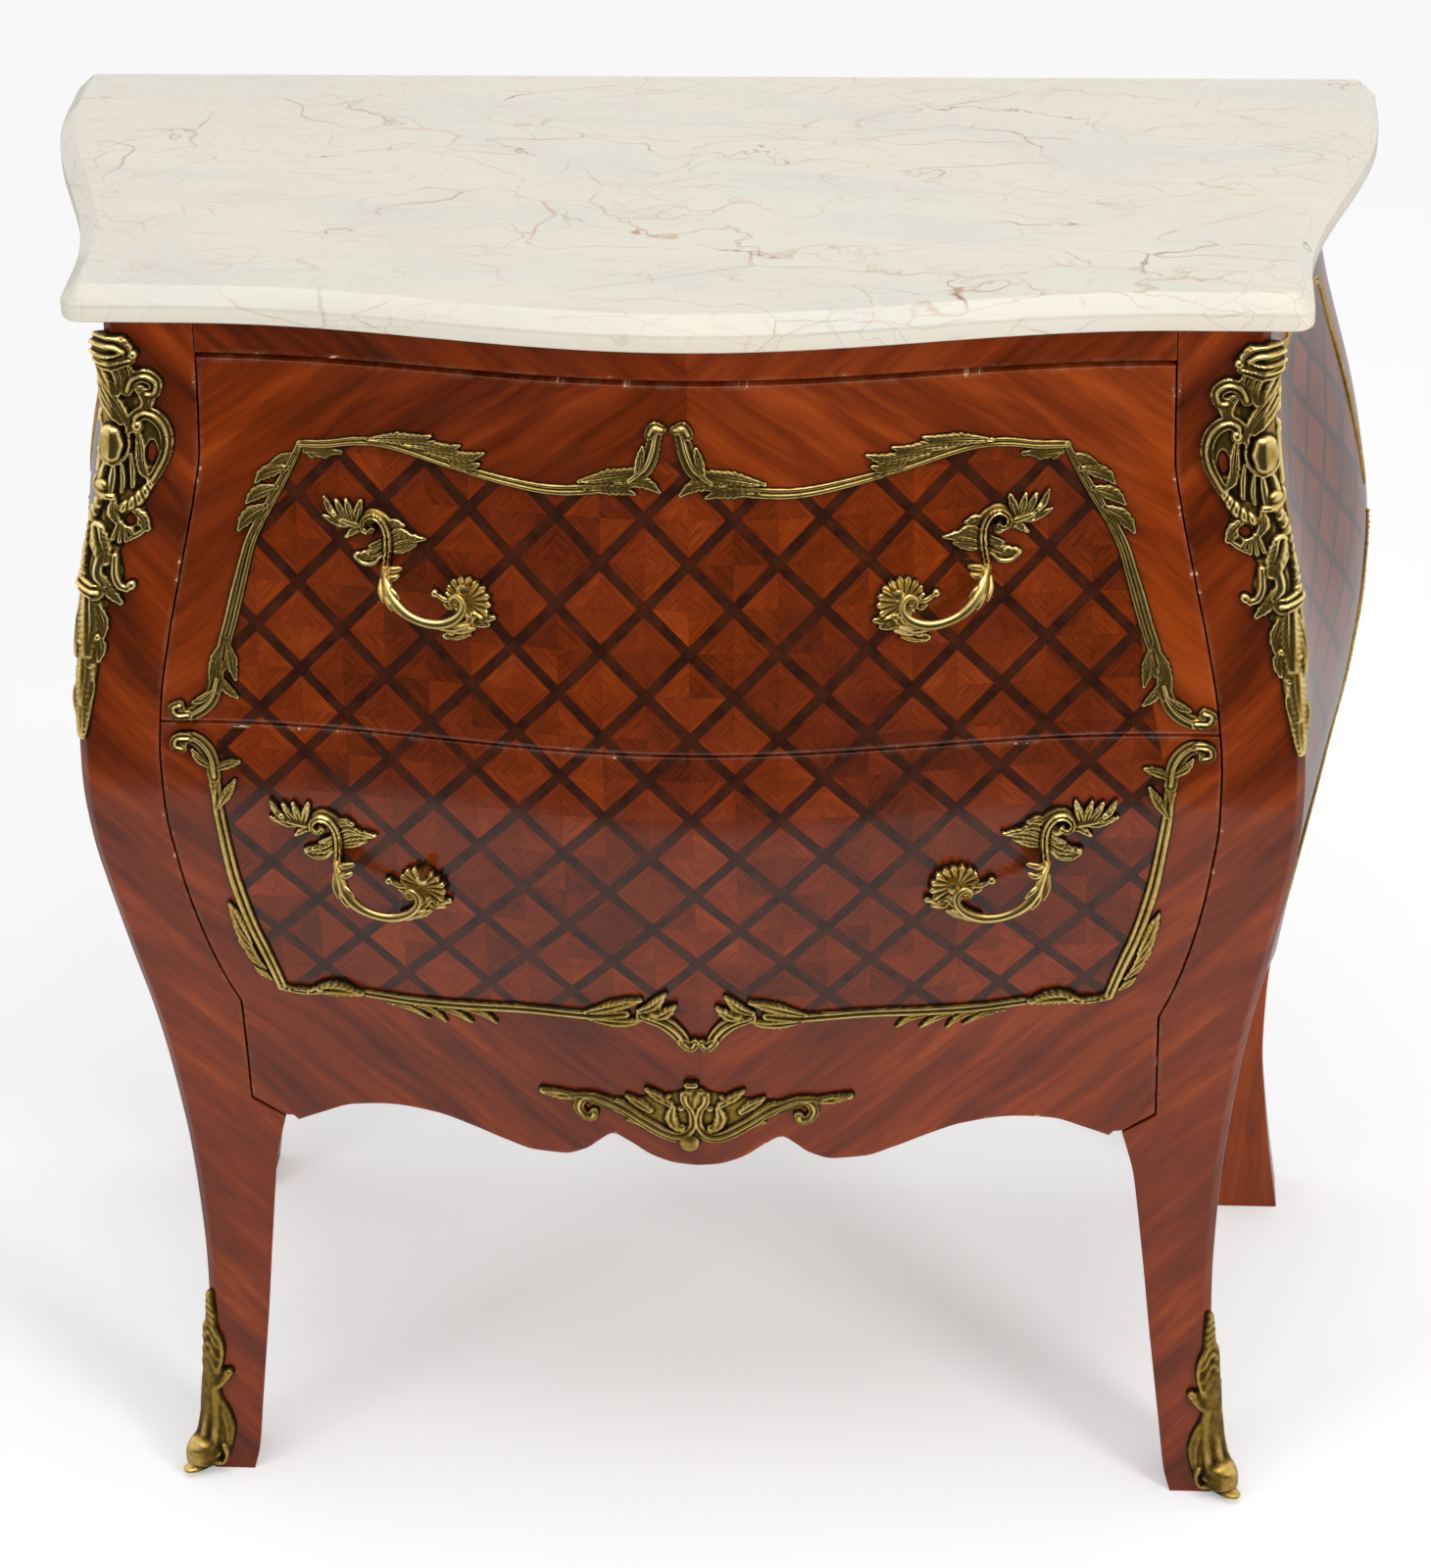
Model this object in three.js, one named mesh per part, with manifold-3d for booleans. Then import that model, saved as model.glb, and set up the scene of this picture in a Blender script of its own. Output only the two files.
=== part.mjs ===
// A small bombe commode chest: marble top, two drawers one above the other with no rail between them,
// cabriole legs and gilt brass mounts. Millimetres, +X to the right, +Y to the back, +Z up.
// While the pieces are made, y is 0 near the front corners. The last group centres the whole on the origin.
import * as THREE from "three";
import { mergeVertices } from "three/addons/utils/BufferGeometryUtils.js";
import Module from "manifold-3d";

const wasm = await Module();
wasm.setup();

// Driving dimensions.
const marble = {
  thickness: 20,
  cornerOverhang: 24,
  rearOverhang: 33,
  frontOverhang: 3,
  backOverhang: 6,
  bow: 35.5,
  sideStartY: 65,
  cornerRadius: 12,
  bevelWidth: 10,
  bevelDepth: 9,
  lowerRound: 2.2,
};
const carcass = {
  height: 780,
  cornerTopY: 17.5,
  bellyForward: 47,
  bow: 33,
  bowMargin: 4.5,
  stileWidth: 52.5,
  cornerSwell: 27,
  rearFlare: 39,
  rearSwell: 38,
  sideStartY: 60,
  sideEndInset: 35,
  backY: 340,
  chamfer: 5,
  panelThickness: 16,
};
const opening = {
  railHeight: 18,
  upperHeight: 214.3,
  topHalfWidth: 275.5,
  swell: 31,
  bendInset: 1,
};
const leg = {
  height: 257.5,
  shoulderRise: 13.5,
  shoulderWidth: 19.5,
  splay: 34.4,
  depth: 58,
  ankleDepth: 44,
  ankleShare: 0.5437,
  footDepth: 38,
  taperShare: 0.2,
};
const rearStile = { depth: 40, width: 42, footWidth: 40 };
const apron = { drop: 8, rise: 24.3, nick: 1.1 };
const sideApron = { endDrop: 35.5, archDrop: 14.5 };
const board = { topThickness: 12, bottomRise: 5, bottomThickness: 12, bottomFrontY: 25 };
const back = { inset: 14, thickness: 12, drop: 22.5 };
const drawer = {
  frontThickness: 22,
  topGap: 3.5,
  sideGap: 1,
  seamGap: 1.6,
  boxInset: 13.5,
  sideThickness: 12,
  backThickness: 12,
  bottomThickness: 8,
  bottomInset: 4,
  rearGap: 16,
  upperBoxTopInset: 17,
  upperBoxLowInset: 10.3,
  lowerBoxTopInset: 17.7,
};
const runner = {
  grip: 12,
  upperReach: 68,
  lowerReach: 38,
  upperThickness: 17.7,
  lowerThickness: 11.4,
  guideWidth: 12,
  guideHeight: 17,
};
const handle = {
  standoff: 19,
  stemRadius: 4.6,
  shellRadius: 13,
  shellDepth: 9,
  scrollRadius: 10,
  scrollDepth: 9,
  leafLength: 17,
  leafWidth: 7,
  leafDepth: 6,
  liftShare: 0.45,
  postRadius: 2.6,
  holeRadius: 3.1,
  nutRadius: 7,
  nutThickness: 4,
  seatRadius: 10,
  seatDepth: 6,
};
const strip = { width: 9.5, thickness: 3.6, crownShare: 0.62 };
const sideStrip = { width: 9, thickness: 2.8 };
const apronMount = {
  width: 8,
  thickness: 6,
  fleurHalfWidth: 30,
  fleurHalfHeight: 23,
  fleurDepth: 9,
  fleurShare: 0.15,
  knobRadius: 6,
  knobShare: 0.064,
};
const cornerMount = { topDrop: 7, length: 244, reach: 32, sideReach: 14, thickness: 6 };
const sabot = { height: 107, reach: 12, sideReach: 18, thickness: 5, toeReach: 8 };
const seat = 0.3; // gap between pieces that touch on flat faces
const curveSeat = 0.6; // gap between pieces that touch on curved faces
const overrun = 30; // how far a cutting solid runs past what it cuts
const rowGap = 5; // rows of points nearer than this to an edge are left out
const weld = 0.0001; // points closer than this are one point

// Shapes as shares: [share of the carcass height, share of the swell].
const frontSwellShares = [
  [0, 0.715], [0.08, 0.6], [0.16, 0.46], [0.24, 0.38], [0.3, 0.364], [0.36, 0.404], [0.42, 0.51], [0.48, 0.67],
  [0.54, 0.84], [0.6, 0.966], [0.65, 1], [0.7, 0.965], [0.76, 0.835], [0.82, 0.61], [0.87, 0.36], [0.92, 0.15],
  [0.96, 0.035], [1, 0],
];
const cornerSwellShares = [
  [0, -0.3], [0.08, -0.48], [0.13, -0.556], [0.19, -0.578], [0.24, -0.53], [0.3, -0.42], [0.35, -0.26],
  [0.4, -0.08], [0.44, 0.1], [0.48, 0.32], [0.52, 0.52], [0.56, 0.72], [0.6, 0.9], [0.65, 1], [0.7, 0.96],
  [0.76, 0.8], [0.81, 0.57], [0.86, 0.28], [0.91, 0.07], [1, 0],
];
const rearSwellShares = [
  [0, -0.03], [0.05, -0.17], [0.11, -0.3], [0.165, -0.38], [0.22, -0.35], [0.28, -0.22], [0.34, -0.02],
  [0.4, 0.18], [0.46, 0.41], [0.5, 0.56], [0.54, 0.73], [0.58, 0.85], [0.63, 0.96], [0.68, 0.99], [0.73, 0.87],
  [0.78, 0.67], [0.83, 0.4], [0.87, 0.19], [0.92, 0.03], [1, 0],
];
const openingSwellShares = [
  [0.4436, -0.03], [0.474, 0.26], [0.513, 0.53], [0.551, 0.73], [0.59, 0.875], [0.628, 0.985], [0.667, 1],
  [0.718, 0.906], [0.769, 0.69], [0.8205, 0.41], [0.872, 0.135], [0.904, 0.016], [1, 0],
];
// The leg's inner edge: [share of the leg height, share of the way out to the foot].
const legInnerShares = [
  [0, 1], [0.06, 0.885], [0.2, 0.765], [0.33, 0.657], [0.466, 0.546], [0.6, 0.448], [0.69, 0.378], [0.79, 0.297],
  [0.885, 0.21], [0.96, 0.08], [1, 0],
];
// The scalloped lower edge, from the middle out: [share of the leg's inner half width, share of the rise].
const apronShares = [
  [0, 0], [0.0484, 0.05], [0.1076, 0.27], [0.1615, 0.66], [0.2002, 0.86], [0.2282, 0.66], [0.2637, 0.34],
  [0.3229, 0.11], [0.3875, 0.12], [0.4629, 0.34], [0.5382, 0.63], [0.6244, 0.9], [0.7212, 1], [0.8289, 0.88],
  [0.915, 0.52], [0.9742, 0.24],
];
// Heights at which the case is divided, as shares of its height.
const caseShares = [0.3, 0.3253, 0.3474, 0.3718, 0.4077, 0.4436, 0.481, 0.519, 0.558, 0.596, 0.635, 0.673, 0.7022,
  0.75, 0.788, 0.827, 0.865, 0.904, 0.942, 0.9769];
const legShares = [0, 0.04, 0.08, 0.13, 0.18, 0.23];
const kneeShare = 0.315;

// Heights and places that follow from the sizes above.
const openingTopZ = carcass.height - opening.railHeight;
const seamZ = openingTopZ - opening.upperHeight;
const bendZ = openingSwellShares[0][0] * carcass.height;
const shoulderZ = leg.height + leg.shoulderRise;
const ankleZ = leg.ankleShare * leg.height;
const apronLowZ = leg.height - apron.drop;
const sideEndZ = leg.height - sideApron.endDrop;
const sideArchZ = leg.height - sideApron.archDrop;
const backLowZ = leg.height - back.drop;
const boardLowZ = shoulderZ + board.bottomRise;
const runnerLowZ = boardLowZ + board.bottomThickness + seat;
const upperBox = { lowZ: seamZ + drawer.upperBoxLowInset, highZ: openingTopZ - drawer.upperBoxTopInset };
const lowerBox = { lowZ: runnerLowZ + runner.lowerThickness + seat, highZ: seamZ - drawer.lowerBoxTopInset };
const bendHalfWidth = opening.topHalfWidth - opening.bendInset;
const bowHalfWidth = opening.topHalfWidth + carcass.bowMargin;
const cornerHalfWidth = opening.topHalfWidth + carcass.stileWidth;
const rearHalfWidth = cornerHalfWidth + carcass.rearFlare;
const legHalfWidth = bendHalfWidth - leg.shoulderWidth;
const boxHalfWidth = opening.topHalfWidth - drawer.boxInset;
const rearStileY = carcass.backY - rearStile.depth;
const sideEndY = carcass.backY - carcass.sideEndInset;
const backPanelY = carcass.backY - back.inset;
const boxBackY = backPanelY - drawer.rearGap;
const marbleCornerX = cornerHalfWidth + marble.cornerOverhang;
const marbleRearX = rearHalfWidth + marble.rearOverhang;
const marbleCornerY = carcass.cornerTopY - marble.frontOverhang;
const marbleBackY = carcass.backY + marble.backOverhang;

const finishes = {
  veneer: { color: 0x7a3a1c, roughness: 0.25, metalness: 0 },
  carcassWood: { color: 0x8a6a48, roughness: 0.7, metalness: 0 },
  drawerWood: { color: 0xa8845a, roughness: 0.7, metalness: 0 },
  giltBrass: { color: 0x9a8646, roughness: 0.35, metalness: 1 },
  marble: { color: 0xece6d6, roughness: 0.3, metalness: 0 },
};

const point = (x, y, z) => new THREE.Vector3(x, y, z);
function steps(low, high, count) {
  return Array.from({ length: count + 1 }, (_, i) => low + ((high - low) * i) / count);
}

// A smooth function through stations of [place, value] that doesn't swing past them.
function smoothThrough(stations) {
  const count = stations.length;
  const slopes = stations.map((station, i) => {
    const before = stations[Math.max(i - 1, 0)];
    const after = stations[Math.min(i + 1, count - 1)];
    if (i === 0 || i === count - 1) return (after[1] - before[1]) / (after[0] - before[0]);
    const left = (station[1] - before[1]) / (station[0] - before[0]);
    const right = (after[1] - station[1]) / (after[0] - station[0]);
    return left * right <= 0 ? 0 : (2 * left * right) / (left + right);
  });
  return (place) => {
    let i = 0;
    while (i < count - 2 && place > stations[i + 1][0]) i++;
    const span = stations[i + 1][0] - stations[i][0];
    const t = THREE.MathUtils.clamp((place - stations[i][0]) / span, 0, 1);
    const rise = t * t * (3 - 2 * t);
    const start = t * (1 - t) * (1 - t) * span * slopes[i];
    const end = t * t * (1 - t) * span * slopes[i + 1];
    return stations[i][1] + (stations[i + 1][1] - stations[i][1]) * rise + start - end;
  };
}
const frontSwell = smoothThrough(frontSwellShares);
const cornerSwell = smoothThrough(cornerSwellShares);
const rearSwell = smoothThrough(rearSwellShares);
const openingSwell = smoothThrough(openingSwellShares);
const legInner = smoothThrough(legInnerShares);
const apronRise = smoothThrough(apronShares);

// The outside of the case. Every piece of it takes its faces from these functions.
const bell = (x, half) => (Math.abs(x) < half ? Math.cos((Math.PI * x) / (2 * half)) ** 2 : 0);
const ramp = (t) => (1 - Math.cos(Math.PI * THREE.MathUtils.clamp(t, 0, 1))) / 2;
const cornerY = (z) => carcass.cornerTopY - carcass.bellyForward * frontSwell(z / carcass.height);
const frontY = (x, z) => cornerY(z) - carcass.bow * bell(x, bowHalfWidth);
const cornerX = (z) => cornerHalfWidth + carcass.cornerSwell * cornerSwell(z / carcass.height);
const rearX = (z) => rearHalfWidth + carcass.rearSwell * rearSwell(z / carcass.height);
function sideX(y, z) {
  const share = ramp((y - carcass.sideStartY) / (sideEndY - carcass.sideStartY));
  return cornerX(z) + (rearX(z) - cornerX(z)) * share;
}
function openingHalfWidth(z) {
  if (z <= bendZ) return bendHalfWidth;
  return opening.topHalfWidth + opening.swell * openingSwell(z / carcass.height);
}
function stileInnerX(z) {
  if (z >= shoulderZ) return openingHalfWidth(z) + drawer.sideGap;
    if (z >= leg.height) {
    const share = (z - leg.height) / (shoulderZ - leg.height);
    return legHalfWidth + (bendHalfWidth + drawer.sideGap - legHalfWidth) * share;
  }
  return legHalfWidth + leg.splay * legInner(z / leg.height);
}
function stileDepth(z) {
  if (z < ankleZ) return leg.footDepth + (leg.ankleDepth - leg.footDepth) * ramp(z / ankleZ);
  return leg.ankleDepth + (leg.depth - leg.ankleDepth) * ramp((z - ankleZ) / (sideEndZ - ankleZ));
}
function stileTaper(z) {
  return leg.taperShare * stileDepth(z) * ramp((shoulderZ - z) / (shoulderZ - sideEndZ));
}
const stileBackY = (z) => cornerY(z) + stileDepth(z);
const caseHeights = caseShares.map((share) => share * carcass.height);
const caseTopZ = carcass.height - seat;

const sideRows = [leg.height, shoulderZ, ...caseHeights.filter((z) => z > shoulderZ + rowGap), caseTopZ];
const legHeights = [...legShares, kneeShare].map((share) => share * carcass.height);
const stileHeights = [...legHeights, sideEndZ, ...sideRows].sort((a, b) => a - b);

// The faces are flat between their rows, so what lies on a face is placed by its facets.
function between(stops, valueOf) {
  return (place) => {
    let i = 0;
    while (i < stops.length - 2 && place > stops[i + 1]) i++;
    const share = (place - stops[i]) / (stops[i + 1] - stops[i]);
    return THREE.MathUtils.lerp(valueOf(stops[i]), valueOf(stops[i + 1]), share);
  };
}
function faceted(rows, stopsOf, valueOf) {
  const rowValue = (across) => (row) => between(stopsOf(row), (stop) => valueOf(stop, row))(across);
  return (across, z) => between(rows, rowValue(across))(z);
}
const frontColumns = steps(-1, 1, 18);
const frontRows = [apronLowZ, ...caseHeights.filter((z) => z > apronLowZ + rowGap), caseTopZ];
const frontFace = faceted(frontRows, (z) => frontColumns.map((u) => u * openingHalfWidth(z)), frontY);
const sideColumns = steps(0, 1, 7);
function sideDepth(u, z) {
  const start = stileBackY(z) + curveSeat;
  return start + (rearStileY - seat - start) * u;
}
const sideFace = faceted(sideRows, (z) => sideColumns.map((u) => sideDepth(u, z)), sideX);
const edgeX = between(stileHeights, cornerX);
const edgeY = between(stileHeights, cornerY);

// A closed solid from its points and triangles, turned so that its faces point out.
function solid(points, triangles) {
  const geometry = new THREE.BufferGeometry();
  geometry.setAttribute("position", new THREE.Float32BufferAttribute(points.flatMap((p) => p.toArray()), 3));
  const volume = triangles.reduce((sum, [a, b, c]) => {
    return sum + points[a].dot(new THREE.Vector3().crossVectors(points[b], points[c]));
  }, 0);
  geometry.setIndex(triangles.flatMap(([a, b, c]) => (volume < 0 ? [a, c, b] : [a, b, c])));
  return geometry;
}

// A slab between two surfaces over the same grid. Each surface takes its two grid values and returns a point.
function slab(near, far, us, vs) {
  const points = [near, far].flatMap((surface) => vs.flatMap((v) => us.map((u) => surface(u, v))));
  const at = (side, i, j) => side * us.length * vs.length + j * us.length + i;
  const triangles = [];
  const quad = (a, b, c, d) => triangles.push([a, b, c], [a, c, d]);
  for (let j = 0; j < vs.length - 1; j++) {
    for (let i = 0; i < us.length - 1; i++) {
      quad(at(0, i, j), at(0, i + 1, j), at(0, i + 1, j + 1), at(0, i, j + 1));
      quad(at(1, i, j), at(1, i, j + 1), at(1, i + 1, j + 1), at(1, i + 1, j));
    }
  }
  const lastU = us.length - 1;
  const lastV = vs.length - 1;
  for (let i = 0; i < lastU; i++) {
    quad(at(0, i, 0), at(1, i, 0), at(1, i + 1, 0), at(0, i + 1, 0));
    quad(at(0, i, lastV), at(0, i + 1, lastV), at(1, i + 1, lastV), at(1, i, lastV));
  }
  for (let j = 0; j < lastV; j++) {
    quad(at(0, 0, j), at(0, 0, j + 1), at(1, 0, j + 1), at(1, 0, j));
    quad(at(0, lastU, j), at(1, lastU, j), at(1, lastU, j + 1), at(0, lastU, j + 1));
  }
  return solid(points, triangles);
}

// A solid through rings of points that all have the same number of points. The ends are flat caps.
function loft(rings, capPlane) {
  const size = rings[0].length;
  const triangles = [];
  for (let j = 0; j < rings.length - 1; j++) {
    for (let i = 0; i < size; i++) {
      const a = j * size + i;
      const b = j * size + ((i + 1) % size);
      triangles.push([a, b, b + size], [a, b + size, a + size]);
    }
  }
  const capOf = (ring, start, turn) => {
    const flat = ring.map((p) => new THREE.Vector2(p[capPlane[0]], p[capPlane[1]]));
    const clockwise = THREE.ShapeUtils.isClockWise(flat);
    if (clockwise) flat.reverse();
    THREE.ShapeUtils.triangulateShape(flat, []).forEach(([a, b, c]) => {
      const corner = (k) => start + (clockwise ? size - 1 - k : k);
      const forward = turn !== clockwise;
      triangles.push(forward ? [corner(a), corner(b), corner(c)] : [corner(a), corner(c), corner(b)]);
    });
  };
  capOf(rings[0], 0, false);
  capOf(rings[rings.length - 1], (rings.length - 1) * size, true);
  return solid(rings.flat(), triangles);
}

function toManifold(geometry) {
  const bare = geometry.clone();
  bare.deleteAttribute("normal");
  bare.deleteAttribute("uv");
  const merged = mergeVertices(bare, weld);
  return new wasm.Manifold(
    new wasm.Mesh({
      numProp: 3,
      vertProperties: merged.attributes.position.array,
      triVerts: new Uint32Array(merged.index.array),
    }),
  );
}
function toGeometry(manifold) {
  const mesh = manifold.getMesh();
  const geometry = new THREE.BufferGeometry();
  geometry.setAttribute("position", new THREE.BufferAttribute(new Float32Array(mesh.vertProperties), 3));
  geometry.setIndex(new THREE.BufferAttribute(new Uint32Array(mesh.triVerts), 1));
  return geometry;
}

const commode = new THREE.Group();
function addMesh(group, name, geometry, finish) {
  const mesh = new THREE.Mesh(geometry, new THREE.MeshStandardMaterial(finishes[finish]));
  mesh.name = name;
  group.add(mesh);
  return mesh;
}
const sides = [
  { side: "left", sign: -1 },
  { side: "right", sign: 1 },
];
function box(lowX, highX, lowY, highY, lowZ, highZ) {
  const geometry = new THREE.BoxGeometry(highX - lowX, highY - lowY, highZ - lowZ);
  return geometry.translate((lowX + highX) / 2, (lowY + highY) / 2, (lowZ + highZ) / 2);
}

// Marble top: a serpentine slab with a bevelled upper edge on the front and the sides.
function marbleOutline() {
  const frontCount = 16;
  const half = [];
  const straightEnd = marbleCornerX - marble.cornerRadius;
  for (const x of [...steps(0, bowHalfWidth, frontCount), straightEnd]) {
    half.push([x, marbleCornerY - marble.bow * bell(x, bowHalfWidth)]);
  }
  for (const angle of steps(0, Math.PI / 2, 3).slice(1)) {
    const radius = marble.cornerRadius;
    half.push([straightEnd + radius * Math.sin(angle), marbleCornerY + radius * (1 - Math.cos(angle))]);
  }
  for (const y of steps(marble.sideStartY, sideEndY, 10)) {
    const share = ramp((y - marble.sideStartY) / (sideEndY - marble.sideStartY));
    half.push([marbleCornerX + (marbleRearX - marbleCornerX) * share, y]);
  }
  half.push([marbleRearX, marbleBackY]);
  const mirrored = half.slice(1).map(([x, y]) => [-x, y]);
  return [...half, ...mirrored.reverse()].map(([x, y]) => new THREE.Vector2(x, y));
}
// The same outline drawn in by a distance, but not along the straight back.
function insetOutline(outline, distance) {
  const count = outline.length;
  return outline.map((corner, i) => {
    const before = corner.clone().sub(outline[(i + count - 1) % count]).normalize();
    const after = outline[(i + 1) % count].clone().sub(corner).normalize();
    const onBack = corner.y > marbleBackY - marble.lowerRound;
    if (onBack) return new THREE.Vector2(corner.x - Math.sign(corner.x) * distance, corner.y);
    const inward = new THREE.Vector2(-(before.y + after.y), before.x + after.x).normalize();
    return corner.clone().addScaledVector(inward, distance);
  });
}
{
  const outline = marbleOutline();
  const topZ = carcass.height + marble.thickness;
  const layers = [
    [carcass.height, marble.lowerRound],
    [carcass.height + marble.lowerRound, 0],
    [topZ - marble.bevelDepth, 0],
    [topZ, marble.bevelWidth],
  ];
  const rings = layers.map(([z, inset]) => insetOutline(outline, inset).map((p) => point(p.x, p.y, z)));
  addMesh(commode, "marble_top", loft(rings, "xy"), "marble");
}

// Front stiles: each is one piece from the marble to the floor, and carries its cabriole leg.
function stileGeometry(sign) {
  const rings = stileHeights.map((z) => {
    const inner = stileInnerX(z);
    const outer = cornerX(z);
    const front = cornerY(z);
    const rear = stileBackY(z);
    const outline = [
      [inner, front],
      [outer - carcass.chamfer, front],
      [outer, front + carcass.chamfer],
      [sideX(rear, z), rear],
      [inner + stileTaper(z), rear],
    ];
    return outline.map(([x, y]) => point(sign * x, y, z));
  });
  return loft(rings, "xy");
}

// Rear stiles: plain uprights whose feet turn out.
function rearStileGeometry(sign) {
  const heights = [...legShares, 0.32, ...caseShares.slice(1)].map((share) => share * carcass.height);
  const rings = [...heights, caseTopZ].map((z) => {
    const outer = rearX(z);
    const width = rearStile.footWidth + (rearStile.width - rearStile.footWidth) * ramp(z / leg.height);
    const outline = [
      [outer - width, rearStileY],
      [outer, rearStileY],
      [outer, carcass.backY],
      [outer - width, carcass.backY],
    ];
    return outline.map(([x, y]) => point(sign * x, y, z));
  });
  return loft(rings, "xy");
}

// Side panels: bombe boards between the stiles, with an arched lower edge.
function sidePanelGeometry(sign) {
  const lowEdge = (u) => sideEndZ + (sideArchZ - sideEndZ) * Math.sin(Math.PI * u);
  const at = (u, row, inset) => {
    const z = row === 0 ? lowEdge(u) : sideRows[row - 1];
    const y = sideDepth(u, z);
    return point(sign * (sideX(y, z) - inset), y, z);
  };
  const rowNumbers = steps(0, sideRows.length, sideRows.length);
  const inside = (u, row) => at(u, row, carcass.panelThickness);
  return slab((u, row) => at(u, row, 0), inside, sideColumns, rowNumbers);
}
for (const { side, sign } of sides) {
  addMesh(commode, side + "_front_stile", stileGeometry(sign), "veneer");
  addMesh(commode, side + "_rear_stile", rearStileGeometry(sign), "veneer");
  addMesh(commode, side + "_side_panel", sidePanelGeometry(sign), "veneer");
}

// Front rail: the narrow serpentine rail over the upper drawer.
{
  const halfWidth = opening.topHalfWidth + drawer.sideGap - seat;
  const front = (x, z) => point(x, frontY(x, z), z);
  const rear = (x, z) => point(x, frontY(x, z) + drawer.frontThickness, z);
  const geometry = slab(front, rear, steps(-halfWidth, halfWidth, 24), [openingTopZ, caseTopZ]);
  addMesh(commode, "front_rail", geometry, "veneer");
}

// Boards: the top board under the marble and the bottom board under the lower drawer.
function boardGeometry(outline, lowZ, thickness) {
  const mirrored = outline.map(([x, y]) => [-x, y]).reverse();
  const shape = new THREE.Shape([...outline, ...mirrored].map(([x, y]) => new THREE.Vector2(x, y)));
  return new THREE.ExtrudeGeometry(shape, { depth: thickness, bevelEnabled: false }).translate(0, 0, lowZ);
}
function boardOutline(lowZ, highZ, frontLine) {
  const notchY = Math.max(stileBackY(lowZ), stileBackY(highZ)) + curveSeat;
  const clear = carcass.panelThickness + curveSeat;
  const edgeX = (y) => Math.min(sideX(y, lowZ), sideX(y, highZ)) - clear;
  const rearInner = Math.min(rearX(lowZ), rearX(highZ)) - rearStile.width - seat;
  const sideYs = steps(notchY, rearStileY - seat, 6);
  return [
    ...frontLine,
    [frontLine[frontLine.length - 1][0], notchY],
    ...sideYs.map((y) => [edgeX(y), y]),
    [rearInner, rearStileY - seat],
    [rearInner, backPanelY - seat],
  ];
}
{
  const lowZ = caseTopZ - board.topThickness;
  const halfWidth = opening.topHalfWidth - seat;
  const behindRail = (x) => frontY(x, lowZ) + drawer.frontThickness + curveSeat;
  const frontLine = steps(0, halfWidth, 12).map((x) => [x, behindRail(x)]).slice(1);
  const outline = boardOutline(lowZ, caseTopZ, frontLine);
  addMesh(commode, "top_board", boardGeometry(outline, lowZ, board.topThickness), "carcassWood");
}
{
  const lowZ = boardLowZ;
  const frontLine = [[bendHalfWidth - seat, board.bottomFrontY]];
  const outline = boardOutline(lowZ, lowZ + board.bottomThickness, frontLine);
  addMesh(commode, "bottom_board", boardGeometry(outline, lowZ, board.bottomThickness), "carcassWood");
}

// Back panel between the rear stiles.
{
  const rows = [backLowZ, ...caseHeights.filter((z) => z > backLowZ + rowGap), caseTopZ];
  const halfWidth = (z) => rearX(z) - rearStile.width - curveSeat;
  const front = (u, z) => point(u * halfWidth(z), backPanelY, z);
  const rear = (u, z) => point(u * halfWidth(z), backPanelY + back.thickness, z);
  addMesh(commode, "back_panel", slab(front, rear, [-1, 1], rows), "carcassWood");
}

// Runners: each holds up one side of a drawer and has a guide along its outer edge.
function runnerGeometry(sign, reach, lowZ, thickness) {
  const topZ = lowZ + thickness;
  const innerX = boxHalfWidth - runner.grip;
  const halfWidth = boxHalfWidth + reach;
  const guideX = boxHalfWidth + drawer.sideGap;
  const section = [
    [innerX, lowZ],
    [halfWidth, lowZ],
    [halfWidth, topZ],
    [guideX + runner.guideWidth, topZ],
    [guideX + runner.guideWidth, topZ + runner.guideHeight],
    [guideX, topZ + runner.guideHeight],
    [guideX, topZ],
    [innerX, topZ],
  ];
  const startY = Math.max(stileBackY(lowZ), stileBackY(topZ + runner.guideHeight)) + curveSeat;
  const rings = [startY, backPanelY - seat].map((y) => section.map(([x, z]) => point(sign * x, y, z)));
  return loft(rings, "xz");
}
for (const { side, sign } of sides) {
  const upperLowZ = upperBox.lowZ - seat - runner.upperThickness;
  const upper = runnerGeometry(sign, runner.upperReach, upperLowZ, runner.upperThickness);
  addMesh(commode, side + "_upper_runner", upper, "carcassWood");
  const lower = runnerGeometry(sign, runner.lowerReach, runnerLowZ, runner.lowerThickness);
  addMesh(commode, side + "_lower_runner", lower, "carcassWood");
}

// Drawers.
const upperDrawer = new THREE.Group();
const lowerDrawer = new THREE.Group();
commode.add(upperDrawer, lowerDrawer);
const upperFront = { lowZ: seamZ + drawer.seamGap / 2, highZ: openingTopZ - drawer.topGap };
const lowerFrontTopZ = seamZ - drawer.seamGap / 2;

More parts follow.
